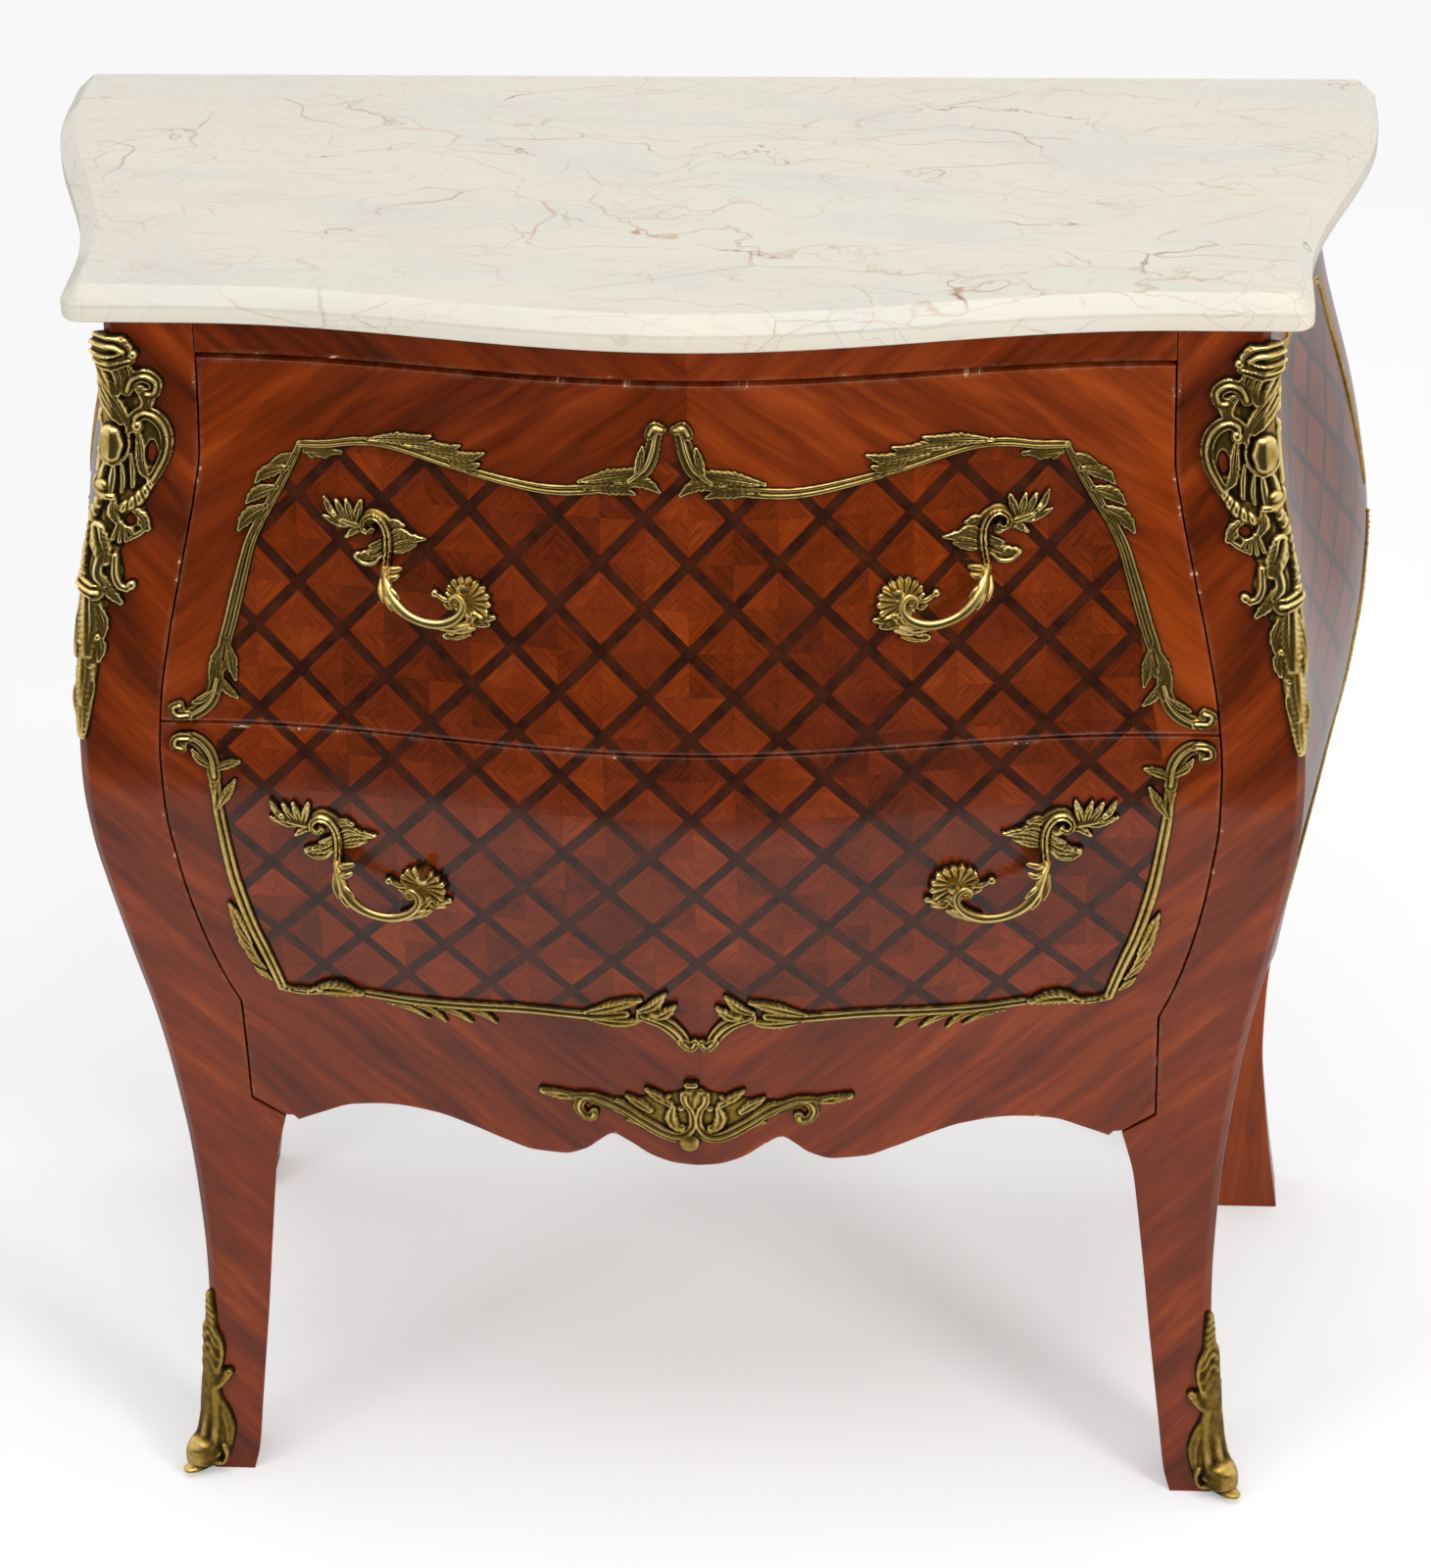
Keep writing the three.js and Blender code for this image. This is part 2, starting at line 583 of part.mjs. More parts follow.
function frontSlab(xs, rowCount, zAt) {
  const place = (u, row, inset) => {
    const z = zAt(u, row);
    const x = u * openingHalfWidth(z);
    return point(x, frontY(x, z) + inset, z);
  };
  return slab(
    (u, row) => place(u, row, 0),
    (u, row) => place(u, row, drawer.frontThickness),
    xs,
    steps(0, rowCount, rowCount),
  );
}
const rowsBetween = (lowZ, highZ) => caseHeights.filter((z) => z > lowZ + rowGap && z < highZ - rowGap);
const upperRows = [upperFront.lowZ, ...rowsBetween(upperFront.lowZ, upperFront.highZ), upperFront.highZ];
const lowerRows = [...rowsBetween(shoulderZ, lowerFrontTopZ), lowerFrontTopZ];
const apronXs = [
  ...apronShares.map(([share]) => share * legHalfWidth),
  legHalfWidth - apron.nick,
  (legHalfWidth + bendHalfWidth) / 2,
  bendHalfWidth,
].map((x) => x / bendHalfWidth);
const apronEndX = apronShares[apronShares.length - 1][0] * legHalfWidth;
function apronZ(share) {
  const x = Math.abs(share) * bendHalfWidth;
  if (x <= apronEndX + weld) return apronLowZ + apron.rise * apronRise(x / legHalfWidth);
  const shoulder = Math.max((x - legHalfWidth) / leg.shoulderWidth, 0);
  return leg.height + leg.shoulderRise * shoulder + drawer.seamGap;
}

// A handle is fixed by two posts that pass through the front and take a nut behind it.
// Places are [share of the opening's widest half width, share of the front's height].
const openingWidest = opening.topHalfWidth + opening.swell;
const upperHeight = upperFront.highZ - upperFront.lowZ;
const lowerHeight = lowerFrontTopZ - apronLowZ;
const handlePlaceShares = {
  upper: { shell: [0.3948, 0.4357], scroll: [0.5808, 0.5862], bowl: [0.4626, 0.3467], stem: [0.5387, 0.4738] },
  lower: { shell: [0.4972, 0.7085], scroll: [0.6949, 0.8043], bowl: [0.571, 0.6295], stem: [0.6496, 0.7233] },
};
function placesOf(shares, lowZ, height) {
  const placed = Object.entries(shares).map(([name, [x, z]]) => [name, [x * openingWidest, lowZ + z * height]]);
  return Object.fromEntries(placed);
}
const handlePlaces = {
  upper: placesOf(handlePlaceShares.upper, upperFront.lowZ, upperHeight),
  lower: placesOf(handlePlaceShares.lower, apronLowZ, lowerHeight),
};
const handleFixings = (place) => [place.shell, place.scroll];
// The grip's middle line: [from, to, share of the way across, share of the way up, share of the standoff].
const gripShares = [
  ["scroll", "scroll", 0, 0, 0.35], ["scroll", "stem", 0.55, 0.25, 0.85], ["stem", "stem", 0, 0, 1],
  ["stem", "bowl", 0.25, 0.66, 1], ["bowl", "bowl", 0, 0, 1], ["bowl", "shell", 0.62, 0.22, 0.9],
  ["shell", "shell", 0, 0, 0.35],
];
const gripRadiusShares = [1, 1.05, 1.1, 1, 0.95, 1.25, 1, 0.95, 1, 1.1, 1.25, 1.2, 1.1];
// Leaves about the scroll: [across, up, half length as shares of the leaf length, share of the width, turn].
const leafShares = [[0.8, 0.6, 1, 1, 0.65], [0.206, -0.7, 0.7, 1, 1.2], [-1, -0.124, 1, 0.7, 0.15]];
function alongY(radius, startY, endY, x, z, sidesCount) {
  const geometry = new THREE.CylinderGeometry(radius, radius, endY - startY, sidesCount);
  return geometry.translate(0, (startY + endY) / 2, 0).translate(x, 0, z);
}
const seatY = (x, z) => frontY(x, z) + drawer.frontThickness - handle.seatDepth;
function drilled(geometry, place) {
  let front = toManifold(geometry);
  for (const { sign } of sides) {
    for (const [x, z] of handleFixings(place)) {
      const startY = frontY(x, z) - overrun;
      const floorY = seatY(x, z);
      const endY = floorY + overrun;
      front = front.subtract(toManifold(alongY(handle.holeRadius, startY, endY, sign * x, z, 12)));
      front = front.subtract(toManifold(alongY(handle.seatRadius, floorY, endY, sign * x, z, 16)));
    }
  }
  return toGeometry(front);
}

function tube(curve, radii, around) {
  const count = radii.length - 1;
  const frames = curve.computeFrenetFrames(count, false);
  const rings = radii.map((radius, i) => {
    const centre = curve.getPointAt(i / count);
    return steps(0, 2 * Math.PI, around).slice(0, around).map((angle) =>
      centre.clone()
        .addScaledVector(frames.normals[i], radius * Math.cos(angle))
        .addScaledVector(frames.binormals[i], radius * Math.sin(angle)));
  });
  const size = around;
  const triangles = [];
  for (let j = 0; j < count; j++) {
    for (let i = 0; i < size; i++) {
      const a = j * size + i;
      const b = j * size + ((i + 1) % size);
      triangles.push([a, b, b + size], [a, b + size, a + size]);
    }
  }
  for (let i = 1; i < size - 1; i++) {
    triangles.push([0, i + 1, i], [count * size, count * size + i, count * size + i + 1]);
  }
  return solid(rings.flat(), triangles);
}
function flattenedBall(x, z, radiusX, radiusZ, depth, turn, lift) {
  const geometry = new THREE.SphereGeometry(1, 12, 8);
  geometry.scale(radiusX, depth, radiusZ).rotateY(-turn);
  return geometry.translate(x, frontY(x, z) - lift, z);
}
// The solid that stands for the drawer front and all behind it, near a handle.
function behindFront(lowX, highX, lowZ, highZ) {
  const near = (x, z) => point(x, frontFace(x, z) - curveSeat, z);
  const far = (x, z) => point(x, frontFace(x, z) + overrun, z);
  const rows = [lowZ, ...frontRows.filter((z) => z > lowZ && z < highZ), highZ];
  return toManifold(slab(near, far, steps(lowX, highX, 9), rows));
}
function handleGeometry(place, sign) {
  const [shellX, shellZ] = place.shell;
  const [scrollX, scrollZ] = place.scroll;
  const line = gripShares.map(([from, to, across, up, share]) => {
    const x = THREE.MathUtils.lerp(place[from][0], place[to][0], across);
    const z = THREE.MathUtils.lerp(place[from][1], place[to][1], up);
    return point(sign * x, frontY(x, z) - handle.standoff * share, z);
  });
  const radii = gripRadiusShares.map((share) => share * handle.stemRadius);
  let casting = toManifold(tube(new THREE.CatmullRomCurve3(line), radii, 8));
  const lump = (x, z, radiusX, radiusZ, depth, turn) => {
    const ball = flattenedBall(sign * x, z, radiusX, radiusZ, depth, sign * turn, depth * handle.liftShare);
    casting = casting.add(toManifold(ball));
  };
  lump(shellX, shellZ, handle.shellRadius, handle.shellRadius, handle.shellDepth, 0);
  lump(scrollX, scrollZ, handle.scrollRadius, handle.scrollRadius, handle.scrollDepth, 0);
  for (const [across, up, long, wide, turn] of leafShares) {
    const x = scrollX + handle.leafLength * across;
    const z = scrollZ + handle.leafLength * up;
    lump(x, z, handle.leafLength * long, handle.leafWidth * wide, handle.leafDepth, turn);
  }
  const reach = handle.leafLength * 3;
  const ends = [sign * (shellX - reach), sign * (scrollX + reach)].sort((a, b) => a - b);
  casting = casting.subtract(behindFront(ends[0], ends[1], place.bowl[1] - reach, scrollZ + reach));
  for (const [x, z] of handleFixings(place)) {
    const startY = frontY(x, z) - handle.scrollDepth / 2;
    const endY = seatY(x, z) + seat + handle.nutThickness;
    casting = casting.add(toManifold(alongY(handle.postRadius, startY, endY, sign * x, z, 10)));
  }
  return toGeometry(casting);
}
function nutGeometry([x, z], sign) {
  const inner = handle.postRadius + seat;
  const half = handle.nutThickness / 2;
  const outer = handle.nutRadius;
  const profile = [[inner, -half], [outer, -half], [outer, half], [inner, half], [inner, -half]];
  const geometry = new THREE.LatheGeometry(profile.map(([r, y]) => new THREE.Vector2(r, y)), 12);
  return geometry.translate(sign * x, seatY(x, z) + seat + half, z);
}

// The box behind a drawer front.
function addBox(group, name, size, rows) {
  const innerX = boxHalfWidth - drawer.sideThickness;
  const behind = (x, z) => frontY(x, z) + drawer.frontThickness + curveSeat;
  const heights = [size.lowZ, ...rows.filter((z) => z > size.lowZ && z < size.highZ), size.highZ];
  for (const { side, sign } of sides) {
    const wall = (x) => (u, z) => {
      const start = Math.max(behind(innerX, z), behind(boxHalfWidth, z));
      return point(sign * x, start + (boxBackY - start) * u, z);
    };
    const geometry = slab(wall(innerX), wall(boxHalfWidth), [0, 1], heights);
    addMesh(group, name + "_" + side + "_side", geometry, "drawerWood");
  }
  const halfWidth = innerX - seat;
  const floorZ = size.lowZ + drawer.bottomInset;
  const floorTopZ = floorZ + drawer.bottomThickness;
  const rearY = boxBackY - drawer.backThickness;
  const highest = Math.min(size.highZ, floorTopZ);
  const floor = (z) => (u, v) => {
    const x = u * halfWidth;
    const start = Math.max(behind(x, floorZ), behind(x, highest));
    return point(x, start + (rearY - seat - start) * v, z);
  };
  const floorGeometry = slab(floor(floorZ), floor(floorTopZ), steps(-1, 1, 16), [0, 1]);
  addMesh(group, name + "_bottom", floorGeometry, "drawerWood");
  const rearHighZ = size.highZ - drawer.bottomInset;
  const rearGeometry = box(-halfWidth, halfWidth, rearY, boxBackY, floorZ, rearHighZ);
  addMesh(group, name + "_back", rearGeometry, "drawerWood");
}

// Strips of gilt brass that lie on a curved face. A path holds [across, up, share of the width] in named sizes.
const onFront = (x, z, lift) => point(x, frontFace(x, z) - curveSeat - lift, z);
const onSide = (sign) => (y, z, lift) => point(sign * (sideFace(y, z) + curveSeat + lift), y, z);
function stripGeometry(path, count, size, place) {
  const stations = path.map(([across, up, share]) => point(across, up, share * size.width));
  const curve = new THREE.CatmullRomCurve3(stations, false, "catmullrom", 0.5);
  const rings = steps(0, 1, count).map((t) => {
    const centre = curve.getPoint(t);
    const ahead = curve.getTangent(t);
    const across = new THREE.Vector2(-ahead.y, ahead.x).normalize();
    const half = centre.z / 2;
    const corner = (share, lift) => {
      const out = half * share;
      return place(centre.x + across.x * out, centre.y + across.y * out, lift);
    };
    const crown = strip.crownShare;
    return [corner(-1, 0), corner(1, 0), corner(crown, size.thickness), corner(-crown, size.thickness)];
  });
  const triangles = [];
  const last = (rings.length - 1) * 4;
  for (let j = 0; j < rings.length - 1; j++) {
    for (let i = 0; i < 4; i++) {
      const a = j * 4 + i;
      const b = j * 4 + ((i + 1) % 4);
      triangles.push([a, b, b + 4], [a, b + 4, a + 4]);
    }
  }
  triangles.push([0, 2, 1], [0, 3, 2], [last, last + 1, last + 2], [last, last + 2, last + 3]);
  return solid(rings.flat(), triangles);
}

// Paths of the frame mounts: [share of the opening's half width, share of the height, share of the width].
const framePathShares = {
  upper_top: [
    [0.018, 0.9, 0.7], [0.018, 0.865, 0.8], [0.036, 0.79, 0.95], [0.09, 0.745, 1.35], [0.162, 0.724, 1.1],
    [0.234, 0.722, 0.9], [0.305, 0.732, 0.9], [0.382, 0.753, 1], [0.459, 0.776, 1.7], [0.53, 0.79, 1.1],
    [0.608, 0.785, 0.9], [0.695, 0.774, 0.8],
  ],
  upper_side: [
    [0.714, 0.77, 0.8], [0.757, 0.71, 1], [0.792, 0.622, 1.3], [0.809, 0.545, 1.1], [0.826, 0.428, 0.9],
    [0.839, 0.322, 0.9], [0.857, 0.19, 1.2], [0.877, 0.12, 1.2], [0.91, 0.062, 1.1], [0.958, 0.048, 0.9],
  ],
  lower_side: [
    [0.968, 0.972, 0.8], [0.922, 0.958, 1], [0.9, 0.914, 1.6], [0.893, 0.838, 1.2], [0.884, 0.752, 1],
    [0.874, 0.666, 1], [0.862, 0.586, 1.2], [0.838, 0.486, 1.5], [0.808, 0.396, 0.8],
  ],
  lower_bottom: [
    [0.784, 0.385, 0.8], [0.72, 0.384, 1], [0.623, 0.384, 1.5], [0.528, 0.376, 1], [0.394, 0.367, 1.2],
    [0.275, 0.376, 1], [0.17, 0.386, 1.2], [0.09, 0.404, 1.5], [0.036, 0.372, 1], [0.014, 0.308, 0.7],
  ],
};
function framePath(name, sign) {
  const upper = name.startsWith("upper");
  const baseZ = upper ? upperFront.lowZ : apronLowZ;
  const height = upper ? upperHeight : lowerHeight;
  const shares = framePathShares[name];
  return shares.map(([across, up, width]) => [sign * across * openingWidest, baseZ + up * height, width]);
}
// The apron mount: two C scrolls that spring from leaf tips and meet under a button.
const apronPathShares = [
  [0.305, 0.17, 0.5], [0.27, 0.155, 0.9], [0.23, 0.137, 1.3], [0.185, 0.14, 1.1], [0.142, 0.14, 1],
  [0.1, 0.115, 1.2], [0.05, 0.09, 1.2], [0, 0.085, 1.6],
];

{
  const slabGeometry = frontSlab(frontColumns, upperRows.length - 1, (u, row) => upperRows[row]);
  addMesh(upperDrawer, "upper_drawer_front", drilled(slabGeometry, handlePlaces.upper), "veneer");
}
addBox(upperDrawer, "upper_drawer", upperBox, upperRows);
{
  const us = [...apronXs.slice(1).map((share) => -share).reverse(), ...apronXs];
  const zAt = (u, row) => (row === 0 ? apronZ(u) : lowerRows[row - 1]);
  const slabGeometry = frontSlab(us, lowerRows.length, zAt);
  addMesh(lowerDrawer, "lower_drawer_front", drilled(slabGeometry, handlePlaces.lower), "veneer");
}
addBox(lowerDrawer, "lower_drawer", lowerBox, lowerRows);
for (const { side, sign } of sides) {
  for (const [level, group] of [["upper", upperDrawer], ["lower", lowerDrawer]]) {
    const place = handlePlaces[level];
    addMesh(group, level + "_" + side + "_handle", handleGeometry(place, sign), "giltBrass");
    addMesh(group, level + "_" + side + "_shell_nut", nutGeometry(place.shell, sign), "giltBrass");
    addMesh(group, level + "_" + side + "_scroll_nut", nutGeometry(place.scroll, sign), "giltBrass");
  }
  for (const name of Object.keys(framePathShares)) {
    const [level, part] = name.split("_");
    const group = level === "upper" ? upperDrawer : lowerDrawer;
    const geometry = stripGeometry(framePath(name, sign), 22, strip, onFront);
    addMesh(group, level + "_" + side + "_" + part + "_mount", geometry, "giltBrass");
  }
}
{
  const half = apronPathShares.map(([across, up, width]) => {
    return [across * openingWidest, apronLowZ + up * lowerHeight, width];
  });
  const path = [...half.slice(0, -1).map(([x, z, width]) => [-x, z, width]), ...half.reverse()];
  const fleurZ = apronLowZ + apronMount.fleurShare * lowerHeight;
  const knobZ = apronLowZ + apronMount.knobShare * lowerHeight;
  const { fleurHalfWidth, fleurHalfHeight, fleurDepth, knobRadius } = apronMount;
  const lumps = [
    flattenedBall(0, fleurZ, fleurHalfWidth, fleurHalfHeight, fleurDepth, 0, 0),
    flattenedBall(0, knobZ, knobRadius, knobRadius, knobRadius, 0, knobRadius / 2),
  ];
  const scrolls = toManifold(stripGeometry(path, 36, apronMount, onFront));
  const whole = lumps.reduce((sum, lump) => sum.add(toManifold(lump)), scrolls);
  const reach = fleurHalfWidth + knobRadius;
  const trimmed = whole.subtract(behindFront(-reach, reach, knobZ - reach, fleurZ + reach));
  addMesh(lowerDrawer, "apron_mount", toGeometry(trimmed), "giltBrass");
}

// Frames on the sides: [share of the side depth, share of the case height, share of the width].
const sidePathShares = {
  upper_front: [
    [0.47, 0.935, 0.7], [0.4, 0.912, 1.2], [0.3, 0.915, 1], [0.2, 0.9, 1.2],
    [0.14, 0.85, 1], [0.13, 0.78, 0.9], [0.1, 0.715, 1],
  ],
  upper_rear: [
    [0.53, 0.935, 0.7], [0.6, 0.912, 1.2], [0.72, 0.915, 1], [0.83, 0.9, 1.2],
    [0.9, 0.85, 1], [0.915, 0.78, 0.9], [0.94, 0.715, 1],
  ],
  lower_front: [
    [0.1, 0.69, 1], [0.13, 0.62, 0.9], [0.14, 0.52, 1], [0.18, 0.43, 1.2],
    [0.26, 0.375, 1], [0.36, 0.36, 1.2], [0.47, 0.335, 0.7],
  ],
  lower_rear: [
    [0.94, 0.69, 1], [0.915, 0.62, 0.9], [0.9, 0.52, 1], [0.84, 0.43, 1.2],
    [0.74, 0.375, 1], [0.64, 0.36, 1.2], [0.53, 0.335, 0.7],
  ],
};
for (const { side, sign } of sides) {
  for (const [name, shares] of Object.entries(sidePathShares)) {
    const path = shares.map(([along, up, width]) => {
      const z = up * carcass.height;
      const start = stileBackY(z);
      return [start + (rearStileY - start) * along, z, width];
    });
    const geometry = stripGeometry(path, 16, sideStrip, onSide(sign));
    addMesh(commode, side + "_" + name + "_side_mount", geometry, "giltBrass");
  }
}

// Corner mounts and sabots wrap the chamfered corner.
// Rows hold [share of the height, share of the reach on the front, of the reach on the side, of the thickness].
const cornerMountShares = [
  [0, 0.06, 0.2, 0.5], [0.08, 0.12, 0.3, 0.7], [0.2, 0.22, 0.5, 0.8], [0.3, 0.3, 0.6, 0.9], [0.39, 0.5, 0.7, 1],
  [0.45, 0.42, 0.7, 0.9], [0.52, 0.5, 0.8, 1], [0.6, 0.74, 0.9, 1], [0.67, 0.9, 0.9, 1.1], [0.76, 1, 1, 1.2],
  [0.84, 0.86, 0.9, 1.1], [0.9, 0.66, 0.8, 1], [0.95, 0.4, 0.8, 1.4], [1, 0.3, 0.5, 1],
];
const sabotShares = [
  [0, 1, 1, 1.3], [0.1, 1, 1, 1.2], [0.2, 0.9, 0.9, 1], [0.4, 0.6, 0.7, 0.9], [0.62, 0.9, 0.7, 0.9],
  [0.8, 0.4, 0.4, 0.9], [1, 0.15, 0.15, 0.8],
];
function wrapGeometry(sign, lowZ, height, shares, size, toe) {
  const places = shares.map(([up]) => up);
  const rowPlaces = stileHeights.map((z) => (z - lowZ) / height).filter((up) => up > 0 && up < 1);
  const extraPlaces = rowPlaces.filter((up) => places.every((place) => Math.abs(place - up) > 0.01));
  const shareOf = (column, up) => between(places, (place) => shares[places.indexOf(place)][column])(up);
  const rings = [...places, ...extraPlaces].sort((a, b) => a - b).map((up) => {
    const [reachShare, sideShare, thickShare] = [1, 2, 3].map((column) => shareOf(column, up));
    const z = lowZ + up * height;
    const outer = edgeX(z);
    const front = edgeY(z);
    const chamfer = carcass.chamfer;
    const thickness = size.thickness * thickShare;
    const kick = toe * Math.max(1 - up * 4, 0);
    const innerX = outer - chamfer - size.reach * reachShare;
    const rearY = front + chamfer + size.sideReach * sideShare;
    const gap = curveSeat;
    const outline = [
      [innerX, front - gap],
      [outer - chamfer, front - gap],
      [outer + gap, front + chamfer],
      [sideX(rearY, z) + gap, rearY],
      [sideX(rearY, z) + gap + thickness * 0.5, rearY],
      [outer + gap + thickness * 0.8 + kick, front + chamfer - kick * 0.4],
      [outer - chamfer * 0.4 + thickness + kick, front - thickness - gap - kick],
      [outer - chamfer - thickness * 0.5 + kick * 0.4, front - gap - thickness * 0.9 - kick],
      [innerX, front - gap - thickness * 0.5],
    ];
    return outline.map(([x, y]) => point(sign * x, y, z));
  });
  return loft(rings, "xy");
}
for (const { side, sign } of sides) {
  const lowZ = carcass.height - cornerMount.topDrop - cornerMount.length;
  const corner = wrapGeometry(sign, lowZ, cornerMount.length, cornerMountShares, cornerMount, 0);
  addMesh(commode, side + "_corner_mount", corner, "giltBrass");
  const shoe = wrapGeometry(sign, 0, sabot.height, sabotShares, sabot, sabot.toeReach);
  addMesh(commode, side + "_sabot", shoe, "giltBrass");
}

// The origin is on the floor, under the middle of the whole, from the belly to the back of the marble.
const bellyY = carcass.cornerTopY - carcass.bellyForward - carcass.bow;
commode.position.y = -(bellyY + marbleBackY) / 2;
const chest = new THREE.Group();
chest.add(commode);

export default chest;
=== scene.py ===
import math
import bpy
import numpy as np
from mathutils import Matrix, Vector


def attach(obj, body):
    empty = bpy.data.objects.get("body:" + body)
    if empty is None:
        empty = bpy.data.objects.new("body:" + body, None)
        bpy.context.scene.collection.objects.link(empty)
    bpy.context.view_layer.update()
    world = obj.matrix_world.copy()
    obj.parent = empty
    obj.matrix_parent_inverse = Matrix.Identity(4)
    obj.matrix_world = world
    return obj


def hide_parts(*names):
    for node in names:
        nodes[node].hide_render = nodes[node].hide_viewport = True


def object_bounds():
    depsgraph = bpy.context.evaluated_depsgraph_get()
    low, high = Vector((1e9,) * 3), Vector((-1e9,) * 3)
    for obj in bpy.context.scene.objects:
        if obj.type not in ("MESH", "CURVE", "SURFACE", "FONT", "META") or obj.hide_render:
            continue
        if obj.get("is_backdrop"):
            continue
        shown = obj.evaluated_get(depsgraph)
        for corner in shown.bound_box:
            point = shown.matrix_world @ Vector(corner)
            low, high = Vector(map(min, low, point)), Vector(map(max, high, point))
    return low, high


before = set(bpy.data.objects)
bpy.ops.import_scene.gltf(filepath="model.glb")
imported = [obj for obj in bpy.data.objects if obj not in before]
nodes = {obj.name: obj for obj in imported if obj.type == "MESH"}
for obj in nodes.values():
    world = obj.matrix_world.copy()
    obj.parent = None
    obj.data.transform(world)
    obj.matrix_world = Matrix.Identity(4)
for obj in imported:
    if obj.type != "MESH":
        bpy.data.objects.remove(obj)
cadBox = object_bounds()
print("frame loaded:", len(nodes), "nodes")

# Sizes are in millimetres, as in the model, with y counted from the front corners.
chest = {
    "height": 780.0, "cornerTopY": 17.5, "bellyForward": 47.0, "bow": 33.0, "bowHalf": 280.0,
    "cornerHalf": 328.0, "cornerSwell": 27.0, "rearHalf": 367.0, "rearSwell": 38.0,
    "sideStart": 60.0, "sideEnd": 305.0, "backY": 340.0, "chamfer": 5.0, "panel": 16.0,
    "railZ": 762.0, "seamZ": 547.7, "openHalf": 275.5, "openSwell": 31.0, "bendHalf": 274.5, "bendZ": 346.0,
    "legZ": 257.5, "shoulderZ": 271.0, "legHalf": 255.0, "splay": 34.4,
    "apronZ": 249.5, "apronRise": 24.3, "apronShare": 0.9742, "ankleZ": 140.0,
    "legDepths": (38.0, 44.0, 58.0), "slantShare": 0.2,  # depths at the floor, the ankle and the knee
    "sideEndZ": 222.0, "sideArchZ": 243.0, "rearStileY": 300.0, "rearStileWidth": 42.0, "rearFootWidth": 40.0,
    "frontThickness": 22.0, "topGap": 3.5, "sideGap": 1.0, "seamGap": 1.6, "marbleGap": 0.3, "railGap": 0.3,
    "panelFrontGap": 0.4, "panelRearGap": 0.3, "arcSteps": 1561, "shiftY": -141.75,
    "crossingX": 5.0, "crossingY": 180.0, "crossingZ": 557.9,  # one crossing of the lattice
}
height = chest["height"]
woodTop = height - chest["marbleGap"]
sides = {"left": -1, "right": 1}


def smoothThrough(stations):  # a curve through stations that doesn't swing past them
    place = np.array([s[0] for s in stations], float)
    value = np.array([s[1] for s in stations], float)
    rate = np.diff(value) / np.diff(place)
    slope = np.zeros_like(value)
    slope[0], slope[-1] = rate[0], rate[-1]
    left, right = rate[:-1], rate[1:]
    same = left * right > 0
    inner = np.zeros_like(left)
    inner[same] = 2 * left[same] * right[same] / (left[same] + right[same])
    slope[1:-1] = inner

    def at(x):
        x = np.asarray(x, float)
        i = np.clip(np.searchsorted(place, x, side="right") - 1, 0, len(place) - 2)
        span = place[i + 1] - place[i]
        t = np.clip((x - place[i]) / span, 0, 1)
        rise = value[i] + (value[i + 1] - value[i]) * t * t * (3 - 2 * t)
        return rise + t * (1 - t) ** 2 * span * slope[i] - t * t * (1 - t) * span * slope[i + 1]
    return at


def faired(stations, spread=0.014):  # the same curve with its kinks sanded out
    curve = smoothThrough(stations)
    x = np.linspace(-0.1, 1.1, 1201)
    ends = np.where(x < 0, curve(0) + x * (curve(0.01) - curve(0)) / 0.01, curve(np.clip(x, 0, 1)))
    ends = np.where(x > 1, curve(1) + (x - 1) * (curve(1) - curve(0.99)) / 0.01, ends)
    reach = np.arange(-60, 61) * 0.001
    weight = np.exp(-0.5 * (reach / spread) ** 2)
    smooth = np.convolve(ends, weight / weight.sum(), mode="same")
    return lambda place: np.interp(place, x, smooth)


frontSwell = faired([
    (0, .715), (.08, .6), (.16, .46), (.24, .38), (.3, .364), (.36, .404), (.42, .51), (.48, .67), (.54, .84),
    (.6, .966), (.65, 1), (.7, .965), (.76, .835), (.82, .61), (.87, .36), (.92, .15), (.96, .035), (1, 0)])
cornerSwell = faired([
    (0, -.3), (.08, -.48), (.13, -.556), (.19, -.578), (.24, -.53), (.3, -.42), (.35, -.26), (.4, -.08),
    (.44, .1), (.48, .32), (.52, .52), (.56, .72), (.6, .9), (.65, 1), (.7, .96), (.76, .8), (.81, .57),
    (.86, .28), (.91, .07), (1, 0)], 0.009)
rearSwell = faired([
    (0, -.03), (.05, -.17), (.11, -.3), (.165, -.38), (.22, -.35), (.28, -.22), (.34, -.02), (.4, .18),
    (.46, .41), (.5, .56), (.54, .73), (.58, .85), (.63, .96), (.68, .99), (.73, .87), (.78, .67), (.83, .4),
    (.87, .19), (.92, .03), (1, 0)], 0.009)
openSwell = smoothThrough([
    (.4436, -.03), (.474, .26), (.513, .53), (.551, .73), (.59, .875), (.628, .985), (.667, 1), (.718, .906),
    (.769, .69), (.8205, .41), (.872, .135), (.904, .016), (1, 0)])
legInner = smoothThrough([
    (0, 1), (.06, .885), (.2, .765), (.33, .657), (.466, .546), (.6, .448), (.69, .378), (.79, .297),
    (.885, .21), (.96, .08), (1, 0)])
apronRise = smoothThrough([
    (0, 0), (.0484, .05), (.1076, .27), (.1615, .66), (.2002, .86), (.2282, .66), (.2637, .34),
    (.3229, .11), (.3875, .12), (.4629, .34), (.5382, .63), (.6244, .9), (.7212, 1), (.8289, .88),
    (.915, .52), (.9742, .24)])


def ramp(t):
    return (1 - np.cos(np.pi * np.clip(t, 0, 1))) / 2


def unit(vectors):
    return vectors / np.linalg.norm(vectors, axis=-1, keepdims=True)


